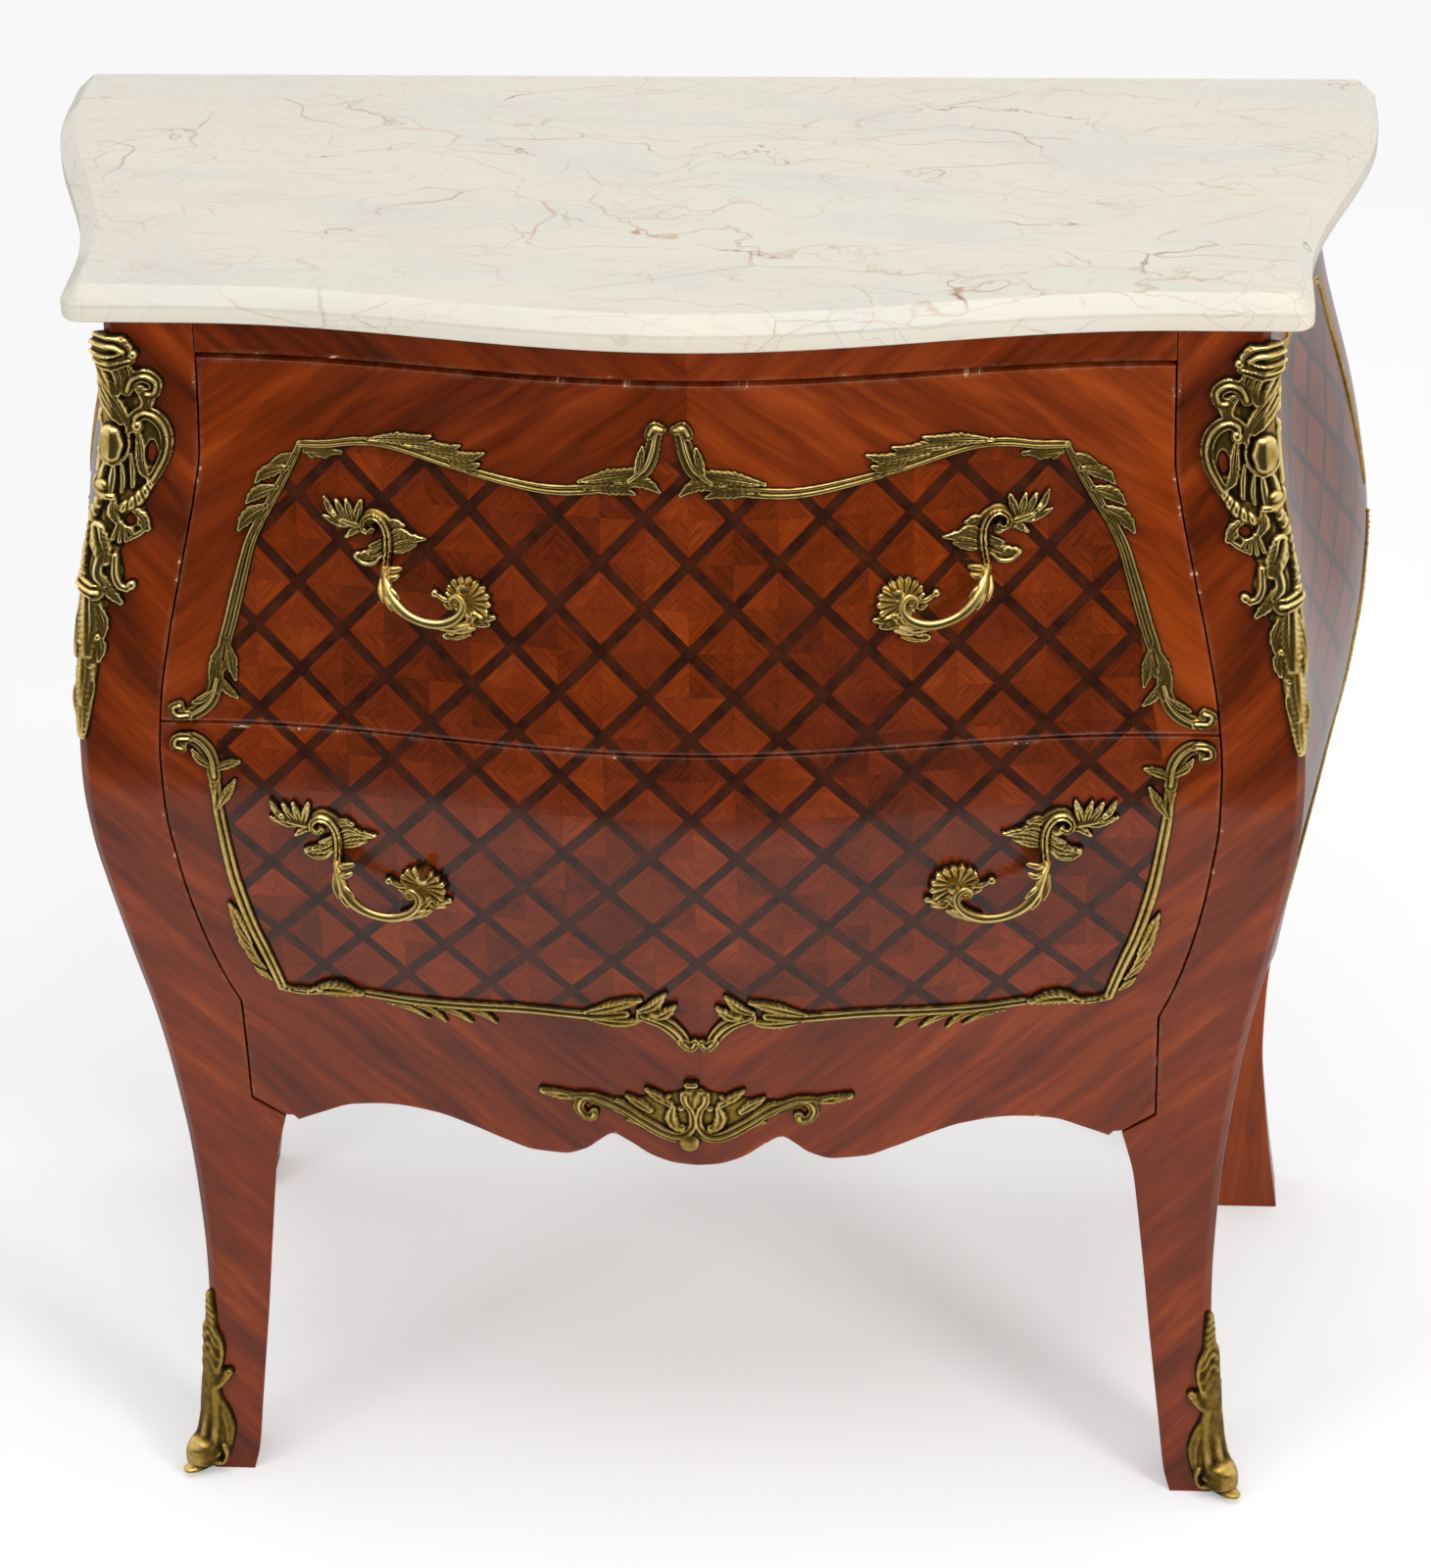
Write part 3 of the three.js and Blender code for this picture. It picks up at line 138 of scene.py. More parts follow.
def cornerY(z):
    return chest["cornerTopY"] - chest["bellyForward"] * frontSwell(np.asarray(z) / height)


def frontY(x, z):
    bell = np.cos(np.pi * np.asarray(x) / (2 * chest["bowHalf"])) ** 2
    return cornerY(z) - chest["bow"] * np.where(np.abs(x) < chest["bowHalf"], bell, 0)


def cornerX(z):
    return chest["cornerHalf"] + chest["cornerSwell"] * cornerSwell(np.asarray(z) / height)


def rearX(z):
    return chest["rearHalf"] + chest["rearSwell"] * rearSwell(np.asarray(z) / height)


def sideX(y, z):
    share = ramp((np.asarray(y) - chest["sideStart"]) / (chest["sideEnd"] - chest["sideStart"]))
    return cornerX(z) + (rearX(z) - cornerX(z)) * share


def openHalf(z):
    z = np.asarray(z, float)
    wide = chest["openHalf"] + chest["openSwell"] * openSwell(z / height)
    return np.where(z <= chest["bendZ"], chest["bendHalf"], wide)


def stileInner(z):
    z = np.asarray(z, float)
    upper = openHalf(z) + chest["sideGap"]
    knee = chest["bendHalf"] + chest["sideGap"] - chest["legHalf"]
    slant = chest["legHalf"] + knee * (z - chest["legZ"]) / (chest["shoulderZ"] - chest["legZ"])
    lower = chest["legHalf"] + chest["splay"] * legInner(z / chest["legZ"])
    return np.where(z >= chest["shoulderZ"], upper, np.where(z >= chest["legZ"], slant, lower))


def stileDepth(z):
    z = np.asarray(z, float)
    foot, ankle, knee = chest["legDepths"]
    low = foot + (ankle - foot) * ramp(z / chest["ankleZ"])
    high = ankle + (knee - ankle) * ramp((z - chest["ankleZ"]) / (chest["sideEndZ"] - chest["ankleZ"]))
    return np.where(z < chest["ankleZ"], low, high)


def stileBack(z):
    return cornerY(z) + stileDepth(z)


def arcAlong(curve):  # length along a curved face, counted from one crossing of the lattice
    places = np.linspace(0, height, chest["arcSteps"])
    arcs = np.concatenate([[0], np.cumsum(np.hypot(np.diff(places), np.diff(curve(places))))])
    return lambda z: np.interp(z, places, arcs) - np.interp(chest["crossingZ"], places, arcs)


frontArc, sideArc = arcAlong(cornerY), arcAlong(rearX)


def linked(name, data):
    made = bpy.data.objects.new(name, data)
    bpy.context.scene.collection.objects.link(made)
    return made


def shade(mesh, crease):
    mesh.shade_smooth()
    mesh.set_sharp_from_angle(angle=math.radians(crease))


# Meshes are worked out in millimetres and turned into metres here.
def makeMesh(name, points, faces, material=None, crease=40):
    points = np.asarray(points, float).reshape(-1, 3).copy()
    points[:, 1] += chest["shiftY"]
    mesh = bpy.data.meshes.new(name)
    mesh.from_pydata((points * 0.001).tolist(), [], [list(map(int, f)) for f in faces])
    mesh.validate()
    mesh.update()
    if crease:
        shade(mesh, crease)
    made = linked(name, mesh)
    if material:
        mesh.materials.append(material)
    return made


def pointsOf(piece):  # a finished mesh's points, back in the model's millimetres
    co = np.empty(len(piece.data.vertices) * 3)
    piece.data.vertices.foreach_get("co", co)
    co = co.reshape(-1, 3) * 1000
    co[:, 1] -= chest["shiftY"]
    return co


def addUv(piece, u, v):  # in metres, so that a pattern keeps its real size
    layer = piece.data.uv_layers.new(name="surface")
    corner = np.empty(len(piece.data.loops), int)
    piece.data.loops.foreach_get("vertex_index", corner)
    uv = np.stack([u, v], 1)[corner] * 0.001
    layer.data.foreach_set("uv", uv.ravel())


def addValue(piece, name, values):
    attribute = piece.data.attributes.new(name, "FLOAT", "POINT")
    attribute.data.foreach_set("value", np.asarray(values, np.float32))


def settle(piece, body, slot, *replaced):
    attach(piece, body)
    if replaced:
        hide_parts(*replaced)
    return piece


def gridFaces(count, rows, start=0, flip=False):  # quads over a grid whose points run row by row
    i, j = np.meshgrid(np.arange(count - 1), np.arange(rows - 1))
    a = (start + j * count + i).ravel()
    quads = np.stack([a, a + 1, a + 1 + count, a + count], 1)
    return quads[:, ::-1] if flip else quads


def slabMesh(near, far):  # a closed slab between two grids of the same size, near facing -y or outwards
    rows, count = near.shape[:2]
    size = rows * count
    faces = [gridFaces(count, rows), gridFaces(count, rows, size, True)]
    i, j = np.arange(count - 1), np.arange(rows - 1) * count
    top, last = (rows - 1) * count, count - 1
    for quad in ((i, size + i, size + i + 1, i + 1),
                 (top + i, top + i + 1, size + top + i + 1, size + top + i),
                 (j, j + count, size + j + count, size + j),
                 (last + j, size + last + j, size + last + j + count, last + j + count)):
        faces.append(np.stack(quad, 1))
    return np.concatenate([near.reshape(-1, 3), far.reshape(-1, 3)]), np.concatenate(faces)


def faceOut(points, faces):  # turns a closed mesh's faces outwards
    p = np.asarray(points, float).reshape(-1, 3)
    total = 0.0
    for f in faces:
        a = p[f[0]]
        for k in range(1, len(f) - 1):
            total += np.dot(a, np.cross(p[f[k]], p[f[k + 1]]))
    return [list(f)[::-1] for f in faces] if total < 0 else [list(f) for f in faces]


# Shader sums are written as sums: a Value stands for one socket.
class Value:
    def __init__(self, made, socket):
        self.made = made
        self.socket = socket

    def sum(self, operation, *others):
        return self.made.node("ShaderNodeMath", {"operation": operation}, dict(enumerate((self,) + others)))

    def __add__(self, other):
        return self.sum("ADD", other)
    __radd__ = __add__

    def __mul__(self, other):
        return self.sum("MULTIPLY", other)
    __rmul__ = __mul__

    def __sub__(self, other):
        return self.sum("SUBTRACT", other)

    def __rsub__(self, other):
        return self.made.node("ShaderNodeMath", {"operation": "SUBTRACT"}, {0: other, 1: self})

    def __truediv__(self, other):
        return self.sum("DIVIDE", other)

    def __gt__(self, other):
        return self.sum("GREATER_THAN", other)

    def __lt__(self, other):
        return self.sum("LESS_THAN", other)

    def size(self):
        return self.sum("ABSOLUTE")

    def floor(self):
        return self.sum("FLOOR")

    def part(self):
        return self.sum("FRACT")

    def most(self, other):
        return self.sum("MAXIMUM", other)

    def least(self, other):
        return self.sum("MINIMUM", other)


class Graph:  # a tree of nodes and the calls that fill it
    def __init__(self, tree):
        self.tree = tree
        tree.nodes.clear()

    def node(self, kind, settings=None, inputs=None, output=0):
        made = self.tree.nodes.new(kind)
        for name, value in (settings or {}).items():
            if name == "stops":
                ramp = made.color_ramp
                while len(ramp.elements) < len(value):
                    ramp.elements.new(0.5)
                for element, (place, colour) in zip(ramp.elements, value):
                    element.position = place
                    element.color = colour
            else:
                setattr(made, name, value)
        for name, value in (inputs or {}).items():
            socket = made.inputs[name]
            if isinstance(value, Value):
                self.tree.links.new(value.socket, socket)
            else:
                socket.default_value = value
        return Value(self, made.outputs[output]) if len(made.outputs) else made

    def vector(self, x, y, z):
        return self.node("ShaderNodeCombineXYZ", None, {0: x, 1: y, 2: z})

    def flat(self, u, v, scale, shift):  # a place on a surface, with a seed for its third axis
        return self.vector(u * scale, v * scale, shift)

    def noise(self, place, scale, detail=4.0, rough=0.55, distort=0.0):
        return self.node("ShaderNodeTexNoise", {"noise_dimensions": "3D"}, {
            "Vector": place, "Scale": scale, "Detail": detail, "Roughness": rough, "Distortion": distort})

    def blend(self, share, first, second, mode="MIX"):
        return self.node("ShaderNodeMix", {"data_type": "RGBA", "blend_type": mode}, {
            0: share, 6: first, 7: second}, 2)

    def shaded(self, colour, tone):
        return self.blend(1.0, colour, self.vector(tone, tone, tone), "MULTIPLY")

    def ramp(self, value, stops):
        return self.node("ShaderNodeValToRGB", {"stops": stops}, {0: value})

    def span(self, value, low, high, first=0.0, last=1.0):  # value from low..high to first..last, clamped
        return self.node("ShaderNodeMapRange", {"clamp": True}, {
            "Value": value, "From Min": low, "From Max": high, "To Min": first, "To Max": last})

    def attribute(self, name):
        return self.node("ShaderNodeAttribute", {"attribute_name": name}, None, 2)

    def place(self):
        return self.node("ShaderNodeTexCoord", None, None, 3)

    def parts(self, vector):
        split = self.node("ShaderNodeSeparateXYZ", None, {0: vector})
        outputs = split.socket.node.outputs
        return [Value(self, outputs[k]) for k in range(3)]

    def surface(self):
        return self.parts(self.node("ShaderNodeUVMap", {"uv_map": "surface"}))[:2]

    def bump(self, heightValue, strength, distance):
        return self.node("ShaderNodeBump", None, {
            "Strength": strength, "Distance": distance, "Height": heightValue})


class Finish(Graph):  # one material
    def __init__(self, name):
        self.material = bpy.data.materials.new(name)
        self.material.use_nodes = True
        super().__init__(self.material.node_tree)

    def finish(self, **sockets):
        names = {"colour": "Base Color", "rough": "Roughness", "metal": "Metallic", "coat": "Coat Weight",
                 "coatRough": "Coat Roughness", "normal": "Normal", "specular": "Specular IOR Level"}
        shader = self.node("ShaderNodeBsdfPrincipled", None, {names[k]: v for k, v in sockets.items()})
        self.node("ShaderNodeOutputMaterial", None, {"Surface": shader})
        return self.material


def srgb(r, g, b):  # a colour read off a screen, as the shader wants it
    turn = lambda c: c / 12.92 if c <= 0.04045 else ((c + 0.055) / 1.055) ** 2.4
    return (turn(r / 255), turn(g / 255), turn(b / 255), 1.0)


# Veneers. The lattice's squares are quartered, with the grain running parallel to their sides.
veneer = {
    "shades": [(0.30, srgb(46, 15, 2)), (0.42, srgb(84, 28, 2)), (0.55, srgb(118, 42, 3)),
               (0.72, srgb(160, 67, 11))],
    "band": srgb(46, 19, 8), "bandLight": srgb(74, 32, 13), "chip": srgb(206, 160, 120),
    "chipScale": 95.0, "chipReach": 0.0016, "chipOver": 0.66, "wornReach": 0.003, "wornShare": 0.35,
    "gloss": 0.24, "glossLess": 0.04, "glossMore": 0.1, "glossScale": 9.0, "waveScale": 34.0,
    "bump": 0.12, "bumpDepth": 0.0012, "coat": 0.44, "coatRough": 0.11, "specular": 0.26,
    "streaks": {  # share in the tone, scales along and over a streak, detail, roughness, distortion, shift
        "broad": (0.42, 5.0, 42.0, 3.0, 0.55, 0.35, 0.0), "fine": (0.16, 16.0, 260.0, 3.0, 0.6, 0.15, 3.7),
        "fleck": (0.34, 13.0, 90.0, 3.0, 0.6, 0.5, 1.9), "slow": (0.26, 2.2, 9.0, 2.0, 0.5, 0.0, 8.1)},
    "sway": 0.02, "swayScale": 7.0, "swayShift": 5.3, "toneShift": -0.065, "insideSoft": 0.0004,
}
squares = {
    "pitchAcross": 0.0502, "pitchUp": 0.0515, "bandShare": 0.0835, "bandSoft": 0.006, "wobble": 0.012,
    "wobbleScale": 40.0, "acrossShift": 0.37, "upShift": 0.61, "cellShift": 5.0, "runShift": 2.0,
    "ringScale": 26.0, "alongScale": 2.6, "chanceScale": 40.0, "cloudScale": 26.0, "runScale": 3.0,
    "grain": 0.32, "chance": 0.1, "cell": 0.08, "cloud": 0.18, "toneShift": 0.17,  # shares in the tone
    "jointWide": 0.016, "jointShade": 0.82, "edgeWide": 0.012, "edgeShade": 0.72,
}


def streakTone(m, across, up, slope, seed):  # long dark and light streaks that run up at a slope
    c, s = math.cos(math.radians(slope)), math.sin(math.radians(slope))
    spot = m.flat(across, up, veneer["swayScale"], seed + veneer["swayShift"])
    sway = m.noise(spot, 1.0, 2.0, 0.5) * veneer["sway"]
    along, over = across * c + up * s, up * c - across * s + sway
    tone, layers = 0.0, {}
    for name, (share, alongScale, overScale, detail, rough, distort, shift) in veneer["streaks"].items():
        spot = m.vector(along * alongScale, over * overScale, seed + shift)
        layers[name] = m.noise(spot, 1.0, detail, rough, distort)
        tone = layers[name] * share + tone
    return tone + veneer["toneShift"], layers["fine"]


def latticeColour(m, u, v, seed):
    a = u / squares["pitchAcross"]
    b = v / squares["pitchUp"]
    p, q = a + b, a - b
    fp, fq = p.part(), q.part()
    wobble = m.noise(m.flat(u, v, squares["wobbleScale"], seed), 1.0, 2.0) * squares["wobble"]
    share, soft = squares["bandShare"], squares["bandSoft"]
    near = [f.least(1 - f) + wobble - squares["wobble"] / 2 for f in (fp, fq)]
    band = m.span(near[0], share - soft, share + soft, 1.0, 0.0).most(
        m.span(near[1], share - soft, share + soft, 1.0, 0.0))
    cp, cq = fp - 0.5, fq - 0.5
    sizeP, sizeQ = cp.size(), cq.size()
    ring = sizeP.most(sizeQ)  # the grain follows the nearer side of its square
    alongRing = m.blend(sizeP > sizeQ, m.vector(cp, 0.0, 0.0), m.vector(cq, 0.0, 0.0))
    quarter = m.vector(p.floor() + ((cp + cq) > 0.0) * squares["acrossShift"],
                       q.floor() + ((cp - cq) > 0.0) * squares["upShift"], seed)
    square = m.vector(p.floor(), q.floor(), seed + squares["cellShift"])
    chance, cell = (m.node("ShaderNodeTexWhiteNoise", {"noise_dimensions": "3D"}, {"Vector": spot})
                    for spot in (quarter, square))
    grain = m.noise(m.vector(ring * squares["ringScale"], m.parts(alongRing)[0] * squares["alongScale"],
                             chance * squares["chanceScale"]), 1.0, 3.0, 0.6, 0.2)
    cloud = m.noise(m.flat(u, v, squares["cloudScale"], seed), 1.0, 2.0)
    tone = grain * squares["grain"] + chance * squares["chance"] + cell * squares["cell"]
    colour = m.ramp(tone + cloud * squares["cloud"] + squares["toneShift"], veneer["shades"])
    joint = m.span((sizeP - sizeQ).size(), 0.0, squares["jointWide"], squares["jointShade"], 1.0)
    colour = m.shaded(colour, joint)
    run = m.noise(m.flat(p, q, squares["runScale"], seed + squares["runShift"]), 1.0, 3.0)
    bandTone = m.blend(m.span(run, 0.35, 0.7), veneer["band"], veneer["bandLight"])
    edge = m.span((near[0] - share).size().least((near[1] - share).size()),
                  0.0, squares["edgeWide"], squares["edgeShade"], 1.0)
    return m.shaded(m.blend(band, colour, bandTone), edge)


def wornEdge(m, colour, u, v, seed):  # pale chips here and there along a piece's rim
    rim = m.attribute("rim")
    spots = m.noise(m.vector(u, v, seed), veneer["chipScale"], 3.0, 0.6)
    chips = (rim < veneer["chipReach"]) * (spots > veneer["chipOver"])
    faint = m.span(rim, 0.0, veneer["wornReach"], veneer["wornShare"], 0.0) * m.span(spots, 0.45, 0.7)
    return m.blend(chips.most(faint * 0.5), colour, veneer["chip"])


def veneerFinish(name, slope, seed, lattice, rightSheen=None, lift=0.0):  # a right sheen mirrors the grain and paints the right half lighter than the left, a painted sheen
    m = Finish(name)
    u, v = m.surface()
    across = u if rightSheen is None else u.size()
    tone, fine = streakTone(m, across, v, slope, seed)
    tone = tone + lift
    if rightSheen is not None:
        # Painted sheen: the right half lighter and the left darker, as the mirrored grain would catch the
        # light.
        tone = tone + ((u > 0.0) - 0.5) * rightSheen
    colour = m.ramp(tone, veneer["shades"])
    if lattice:
        inside = m.span(m.attribute("inside"), -veneer["insideSoft"], veneer["insideSoft"])
        colour = m.blend(inside, colour, latticeColour(m, u, v, seed))
    colour = wornEdge(m, colour, u, v, seed)
    rough = m.span(m.noise(m.place(), veneer["glossScale"], 4.0), 0.3, 0.75,
                   veneer["gloss"] - veneer["glossLess"], veneer["gloss"] + veneer["glossMore"])
    wave = m.noise(m.place(), veneer["waveScale"], 2.0) * 0.6 + fine * 0.1
    return m.finish(colour=colour, rough=rough, coat=veneer["coat"], coatRough=veneer["coatRough"],
                    normal=m.bump(wave, veneer["bump"], veneer["bumpDepth"]), specular=veneer["specular"])


def plainWood(name, dark, light, axis, seed, roughness, boards=0.0):  # solid timber for what lies inside
    sizes = {"alongScale": 6.0, "acrossScale": 70.0, "ringShare": 0.25, "jointWide": 0.012,
             "joint": srgb(34, 24, 16), "roughSpread": 0.08}
    m = Finish(name)
    spot = m.parts(m.place())
    x, y, z = (part * sizes["alongScale" if key == axis else "acrossScale"] for key, part in zip("xyz", spot))
    share = sizes["ringShare"]
    grain = m.noise(m.vector(x + seed, y, z), 1.0, 4.0, 0.6, 0.4)
    rings = m.noise(m.vector(x * share, y * share, z * share + seed), 1.0, 3.0)
    tone = grain * 0.5 + rings * 0.5
    if boards:  # upright boards, each its own shade, with a dark joint between
        board = spot[0] / boards
        number = board.floor()
        tone = tone + m.noise(m.vector(number * 3.7, seed, 0.5), 1.0, 0.0) * 0.3 - 0.15
        joint = m.span(board.part().least(1 - board.part()), 0.0, sizes["jointWide"], 0.0, 1.0)
        grain = grain * joint
    colour = m.ramp(tone, [(0.32, dark), (0.62, light)])
    if boards:
        colour = m.blend(joint, sizes["joint"], colour)
    dust = m.noise(m.place(), 14.0, 3.0)
    rough = m.span(dust, 0.3, 0.7, roughness - sizes["roughSpread"], roughness + sizes["roughSpread"])
    return m.finish(colour=colour, rough=rough, normal=m.bump(grain, 0.15, 0.001), specular=0.3)


print("finishes: veneers")
upperVeneer = veneerFinish("upperFrontVeneer", -36.0, 1.3, True, 0.085)
lowerVeneer = veneerFinish("lowerFrontVeneer", 42.0, 1.3, True, 0.035)
railVeneer = veneerFinish("railVeneer", 40.0, 7.9, False, 0.06)
stileVeneer = veneerFinish("stileVeneer", 47.0, 4.4, False)
rearVeneer = veneerFinish("rearStileVeneer", 84.0, 9.2, False, None, 0.13)
sideVeneer = veneerFinish("sidePanelVeneer", 36.0, 2.6, True)
carcassWood = plainWood("carcassWood", srgb(92, 66, 42), srgb(146, 112, 76), "z", 1.7, 0.62, 0.117)
drawerWood = plainWood("drawerWood", srgb(140, 104, 66), srgb(188, 150, 104), "y", 5.1, 0.58)
boardWood = plainWood("boardWood", srgb(104, 76, 48), srgb(156, 120, 82), "x", 3.2, 0.62)


def marbleFinish():
    # rim is a lighter colour painted on the moulded edge, painted light on the stone's side.
    sizes = {"base": srgb(219, 214, 198), "warm": srgb(232, 214, 184), "rim": srgb(238, 231, 215),
             "grey": srgb(209, 207, 196), "vein": srgb(182, 140, 104), "crack": srgb(118, 46, 34),
             "rimLow": 0.7885, "rimHigh": 0.7905, "sideShare": 0.3, "warmStrength": 0.7,
             "crackWide": 0.007, "crackStrength": 0.8, "coat": 0.3, "coatRough": 0.12, "specular": 0.5,
             "cloud": (5.0, 12.0, 10.0, 0.0), "warmth": (6.0, 9.0, 12.0, 5.0),  # scales by axis, shift
             "patch": (9.0, 13.0, 6.0, 2.0), "where": (7.0, 14.0, 5.0), "veinUp": 40.0, "veinSlant": 4.0,
             "bend": (2.2, 4.5), "turn": (0.3, 0.8, 0.5),
             "veins": {  # scales across and deep, width, strength, shift
                 "long": (6.5, 24.0, 0.016, 0.8, 0.7), "short": (12.0, 50.0, 0.018, 0.55, 4.0),
                 "faint": (22.0, 80.0, 0.03, 0.34, 9.0)}}
    m = Finish("creamMarble")
    x, y, z = m.parts(m.place())
    bend = m.noise(m.place(), 5.0, 3.0, 0.55)
    turn = m.noise(m.vector(x, y, z + 4.0), 22.0, 3.0, 0.6)

    def stretched(acrossScale, deepScale, upScale, shift, slant=0.0):
        return m.vector(x * acrossScale, y * deepScale + x * slant, z * upScale + shift)
    cloud = m.noise(stretched(*sizes["cloud"], 2.0), 1.0, 4.0, 0.6, 0.4)
    colour = m.blend(m.span(cloud, 0.42, 0.66), sizes["base"], sizes["grey"])
    warmth = m.noise(stretched(*sizes["warmth"]), 1.0, 3.0, 0.5)
    # The lower part of the moulded edge is painted lighter than the top: painted light.
    edge = m.span(z, sizes["rimLow"], sizes["rimHigh"], 1.0, sizes["sideShare"])
    colour = m.blend(edge - sizes["sideShare"], colour, sizes["rim"])
    colour = m.blend(m.span(warmth, 0.42, 0.7) * edge * sizes["warmStrength"], colour, sizes["warm"])
    gaps = {}
    for name, (acrossScale, deepScale, wide, strength, shift) in sizes["veins"].items():
        spot = m.vector(
            x * acrossScale + bend * sizes["bend"][0] + turn * sizes["turn"][0],
            y * deepScale + x * sizes["veinSlant"] + bend * sizes["bend"][1] + turn * sizes["turn"][1],
            z * sizes["veinUp"] + shift + turn * sizes["turn"][2])
        gaps[name] = m.node("ShaderNodeTexVoronoi", {"feature": "DISTANCE_TO_EDGE"}, {
            "Vector": spot, "Scale": 1.0})
        thin = m.span(gaps[name], 0.0, wide, 1.0, 0.0)
        where = m.span(m.noise(stretched(*sizes["where"], shift), 1.0, 3.0), 0.4, 0.64)
        colour = m.blend(thin * where * strength, colour, sizes["vein"])
    patch = m.span(m.noise(stretched(*sizes["patch"]), 1.0, 3.0) + edge * 0.05, 0.57, 0.63)
    crack = m.span(gaps["long"], 0.0, sizes["crackWide"], 1.0, 0.0)
    colour = m.blend(crack * patch * sizes["crackStrength"], colour, sizes["crack"])
    rough = m.span(m.noise(m.place(), 22.0, 3.0), 0.3, 0.7, 0.2, 0.34)
    return m.finish(colour=colour, rough=rough, coat=sizes["coat"], coatRough=sizes["coatRough"],
                    normal=m.bump(cloud, 0.05, 0.001), specular=sizes["specular"])


def brassFinish(name, bright):  # old gilt brass: painted highlight on the ridges and painted shade in the hollows, which also hold dark green-brown patina
    sizes = {"shades": [(0.12, srgb(30, 22, 9)), (0.36, srgb(112, 87, 34)), (0.58, srgb(186, 151, 72)),
                        (0.86, srgb(248, 221, 144))],
             "relief": 0.95, "spots": 0.35, "patch": 0.3, "levelShift": -0.3,  # shares in the level
             "spotScale": 260.0, "patchScale": 45.0, "rough": (0.15, 0.9, 0.6, 0.22),
             "metal": (0.1, 0.4, 0.7, 1.0), "bump": 0.25, "bumpDepth": 0.0006}
    m = Finish(name)
    relief = m.attribute("relief")  # 0 in a hollow, 1 on a ridge: painted shade and painted highlight
    spots = m.noise(m.place(), sizes["spotScale"], 4.0, 0.6)
    patch = m.noise(m.place(), sizes["patchScale"], 3.0, 0.6)
    level = relief * sizes["relief"] + spots * sizes["spots"] + patch * sizes["patch"]
    level = level + sizes["levelShift"] + bright
    return m.finish(colour=m.ramp(level, sizes["shades"]), rough=m.span(level, *sizes["rough"]),
                    metal=m.span(level, *sizes["metal"]),
                    normal=m.bump(spots, sizes["bump"], sizes["bumpDepth"]))


print("finishes: marble and brass")
creamMarble = marbleFinish()
giltBrass = brassFinish("giltBrass", 0.0)
handleBrass = brassFinish("handleBrass", 0.04)


# Where the lattice ends on the front, under the brass frame.
latticeEdge = [
    (0, 716), (11, 714.5), (27.5, 705), (49.5, 700.7), (71.6, 700.1), (93.4, 702.3), (117.1, 706.8),
    (140.6, 711.7), (162.3, 714.7), (186.3, 713.5), (216, 711.3), (232, 697.5), (242.7, 678.8), (248, 662.6),
    (253.3, 638), (257.2, 616), (262.9, 587.2), (266, 570), (269, 556), (271, 544), (273.5, 530),
    (274.5, 515), (273.9, 499), (271, 473.3), (268, 447.6), (264.2, 423.8), (256.7, 394), (246.8, 364),
    (220.7, 364), (191.2, 364.4), (161.9, 361.4), (120.9, 358.6), (84.3, 361.4), (52.2, 363.6), (27.5, 367),
    (0, 366)]


def outlineDistance(x, z, outline):  # distance to a closed outline, positive inside it
    best = np.full(np.shape(x), 1e9)
    inside = np.zeros(np.shape(x), bool)
    for (ax, az), (bx, bz) in zip(outline, outline[1:] + outline[:1]):
        dx, dz = bx - ax, bz - az
        t = np.clip(((x - ax) * dx + (z - az) * dz) / max(dx * dx + dz * dz, 1e-9), 0, 1)
        best = np.minimum(best, np.hypot(x - ax - t * dx, z - az - t * dz))
        crosses = ((az > z) != (bz > z)) & (x < ax + (z - az) * dx / (dz if dz else 1e-9))
        inside ^= crosses
    return np.where(inside, best, -best)


# Solids from rings of points, joined one after the other and closed at both ends.
def ringFaces(rows, count):
    ahead = [(i + 1) % count for i in range(count)]
    return [[j * count + i, j * count + ahead[i], (j + 1) * count + ahead[i], (j + 1) * count + i]
            for j in range(rows - 1) for i in range(count)]


def loftMesh(name, rings, material=None, crease=30):
    rings = np.asarray(rings)
    rows, count = rings.shape[:2]
    faces = ringFaces(rows, count)
    faces.append(list(range(count))[::-1])
    faces.append([(rows - 1) * count + i for i in range(count)])
    points = rings.reshape(-1, 3)
    return makeMesh(name, points, faceOut(points, faces), material, crease)


# Drawer fronts and rail.
frontSizes = {"arris": 0.8, "arrisHalf": 275.0, "arrisRise": 210.0, "columns": 181, "hole": 3.1, "seat": 10.0,
              "seatDepth": 6.0, "holeRun": 30.0, "holeSides": 24}


def frontShape(name, lowEdge, highEdge, count, rows, material, half=openHalf):
    arris = frontSizes["arris"]
    shareX, shareZ = arris / frontSizes["arrisHalf"], arris / frontSizes["arrisRise"]

    def spread(low, count, share):  # even places, with two more beside each end for the arris
        more = [low + share * 0.4, low + share, 1 - share, 1 - share * 0.4]
        return np.sort(np.concatenate([np.linspace(low, 1, count), more]))
    uu, vv = np.meshgrid(spread(-1, count, shareX), spread(0, rows, shareZ))
    low = lowEdge(uu)
    z = low + (highEdge - low) * vv
    x = uu * half(z)
    rounded = lambda t: np.clip(1 - t, 0, 1) ** 2 * arris
    back = rounded((1 - np.abs(uu)) / shareX) + rounded(vv / shareZ) + rounded((1 - vv) / shareZ)
    near = np.stack([x, frontY(x, z) + np.minimum(back, arris), z], 2)
    far = np.stack([x, frontY(x, z) + chest["frontThickness"], z], 2)
    return makeMesh(name, *slabMesh(near, far), material)


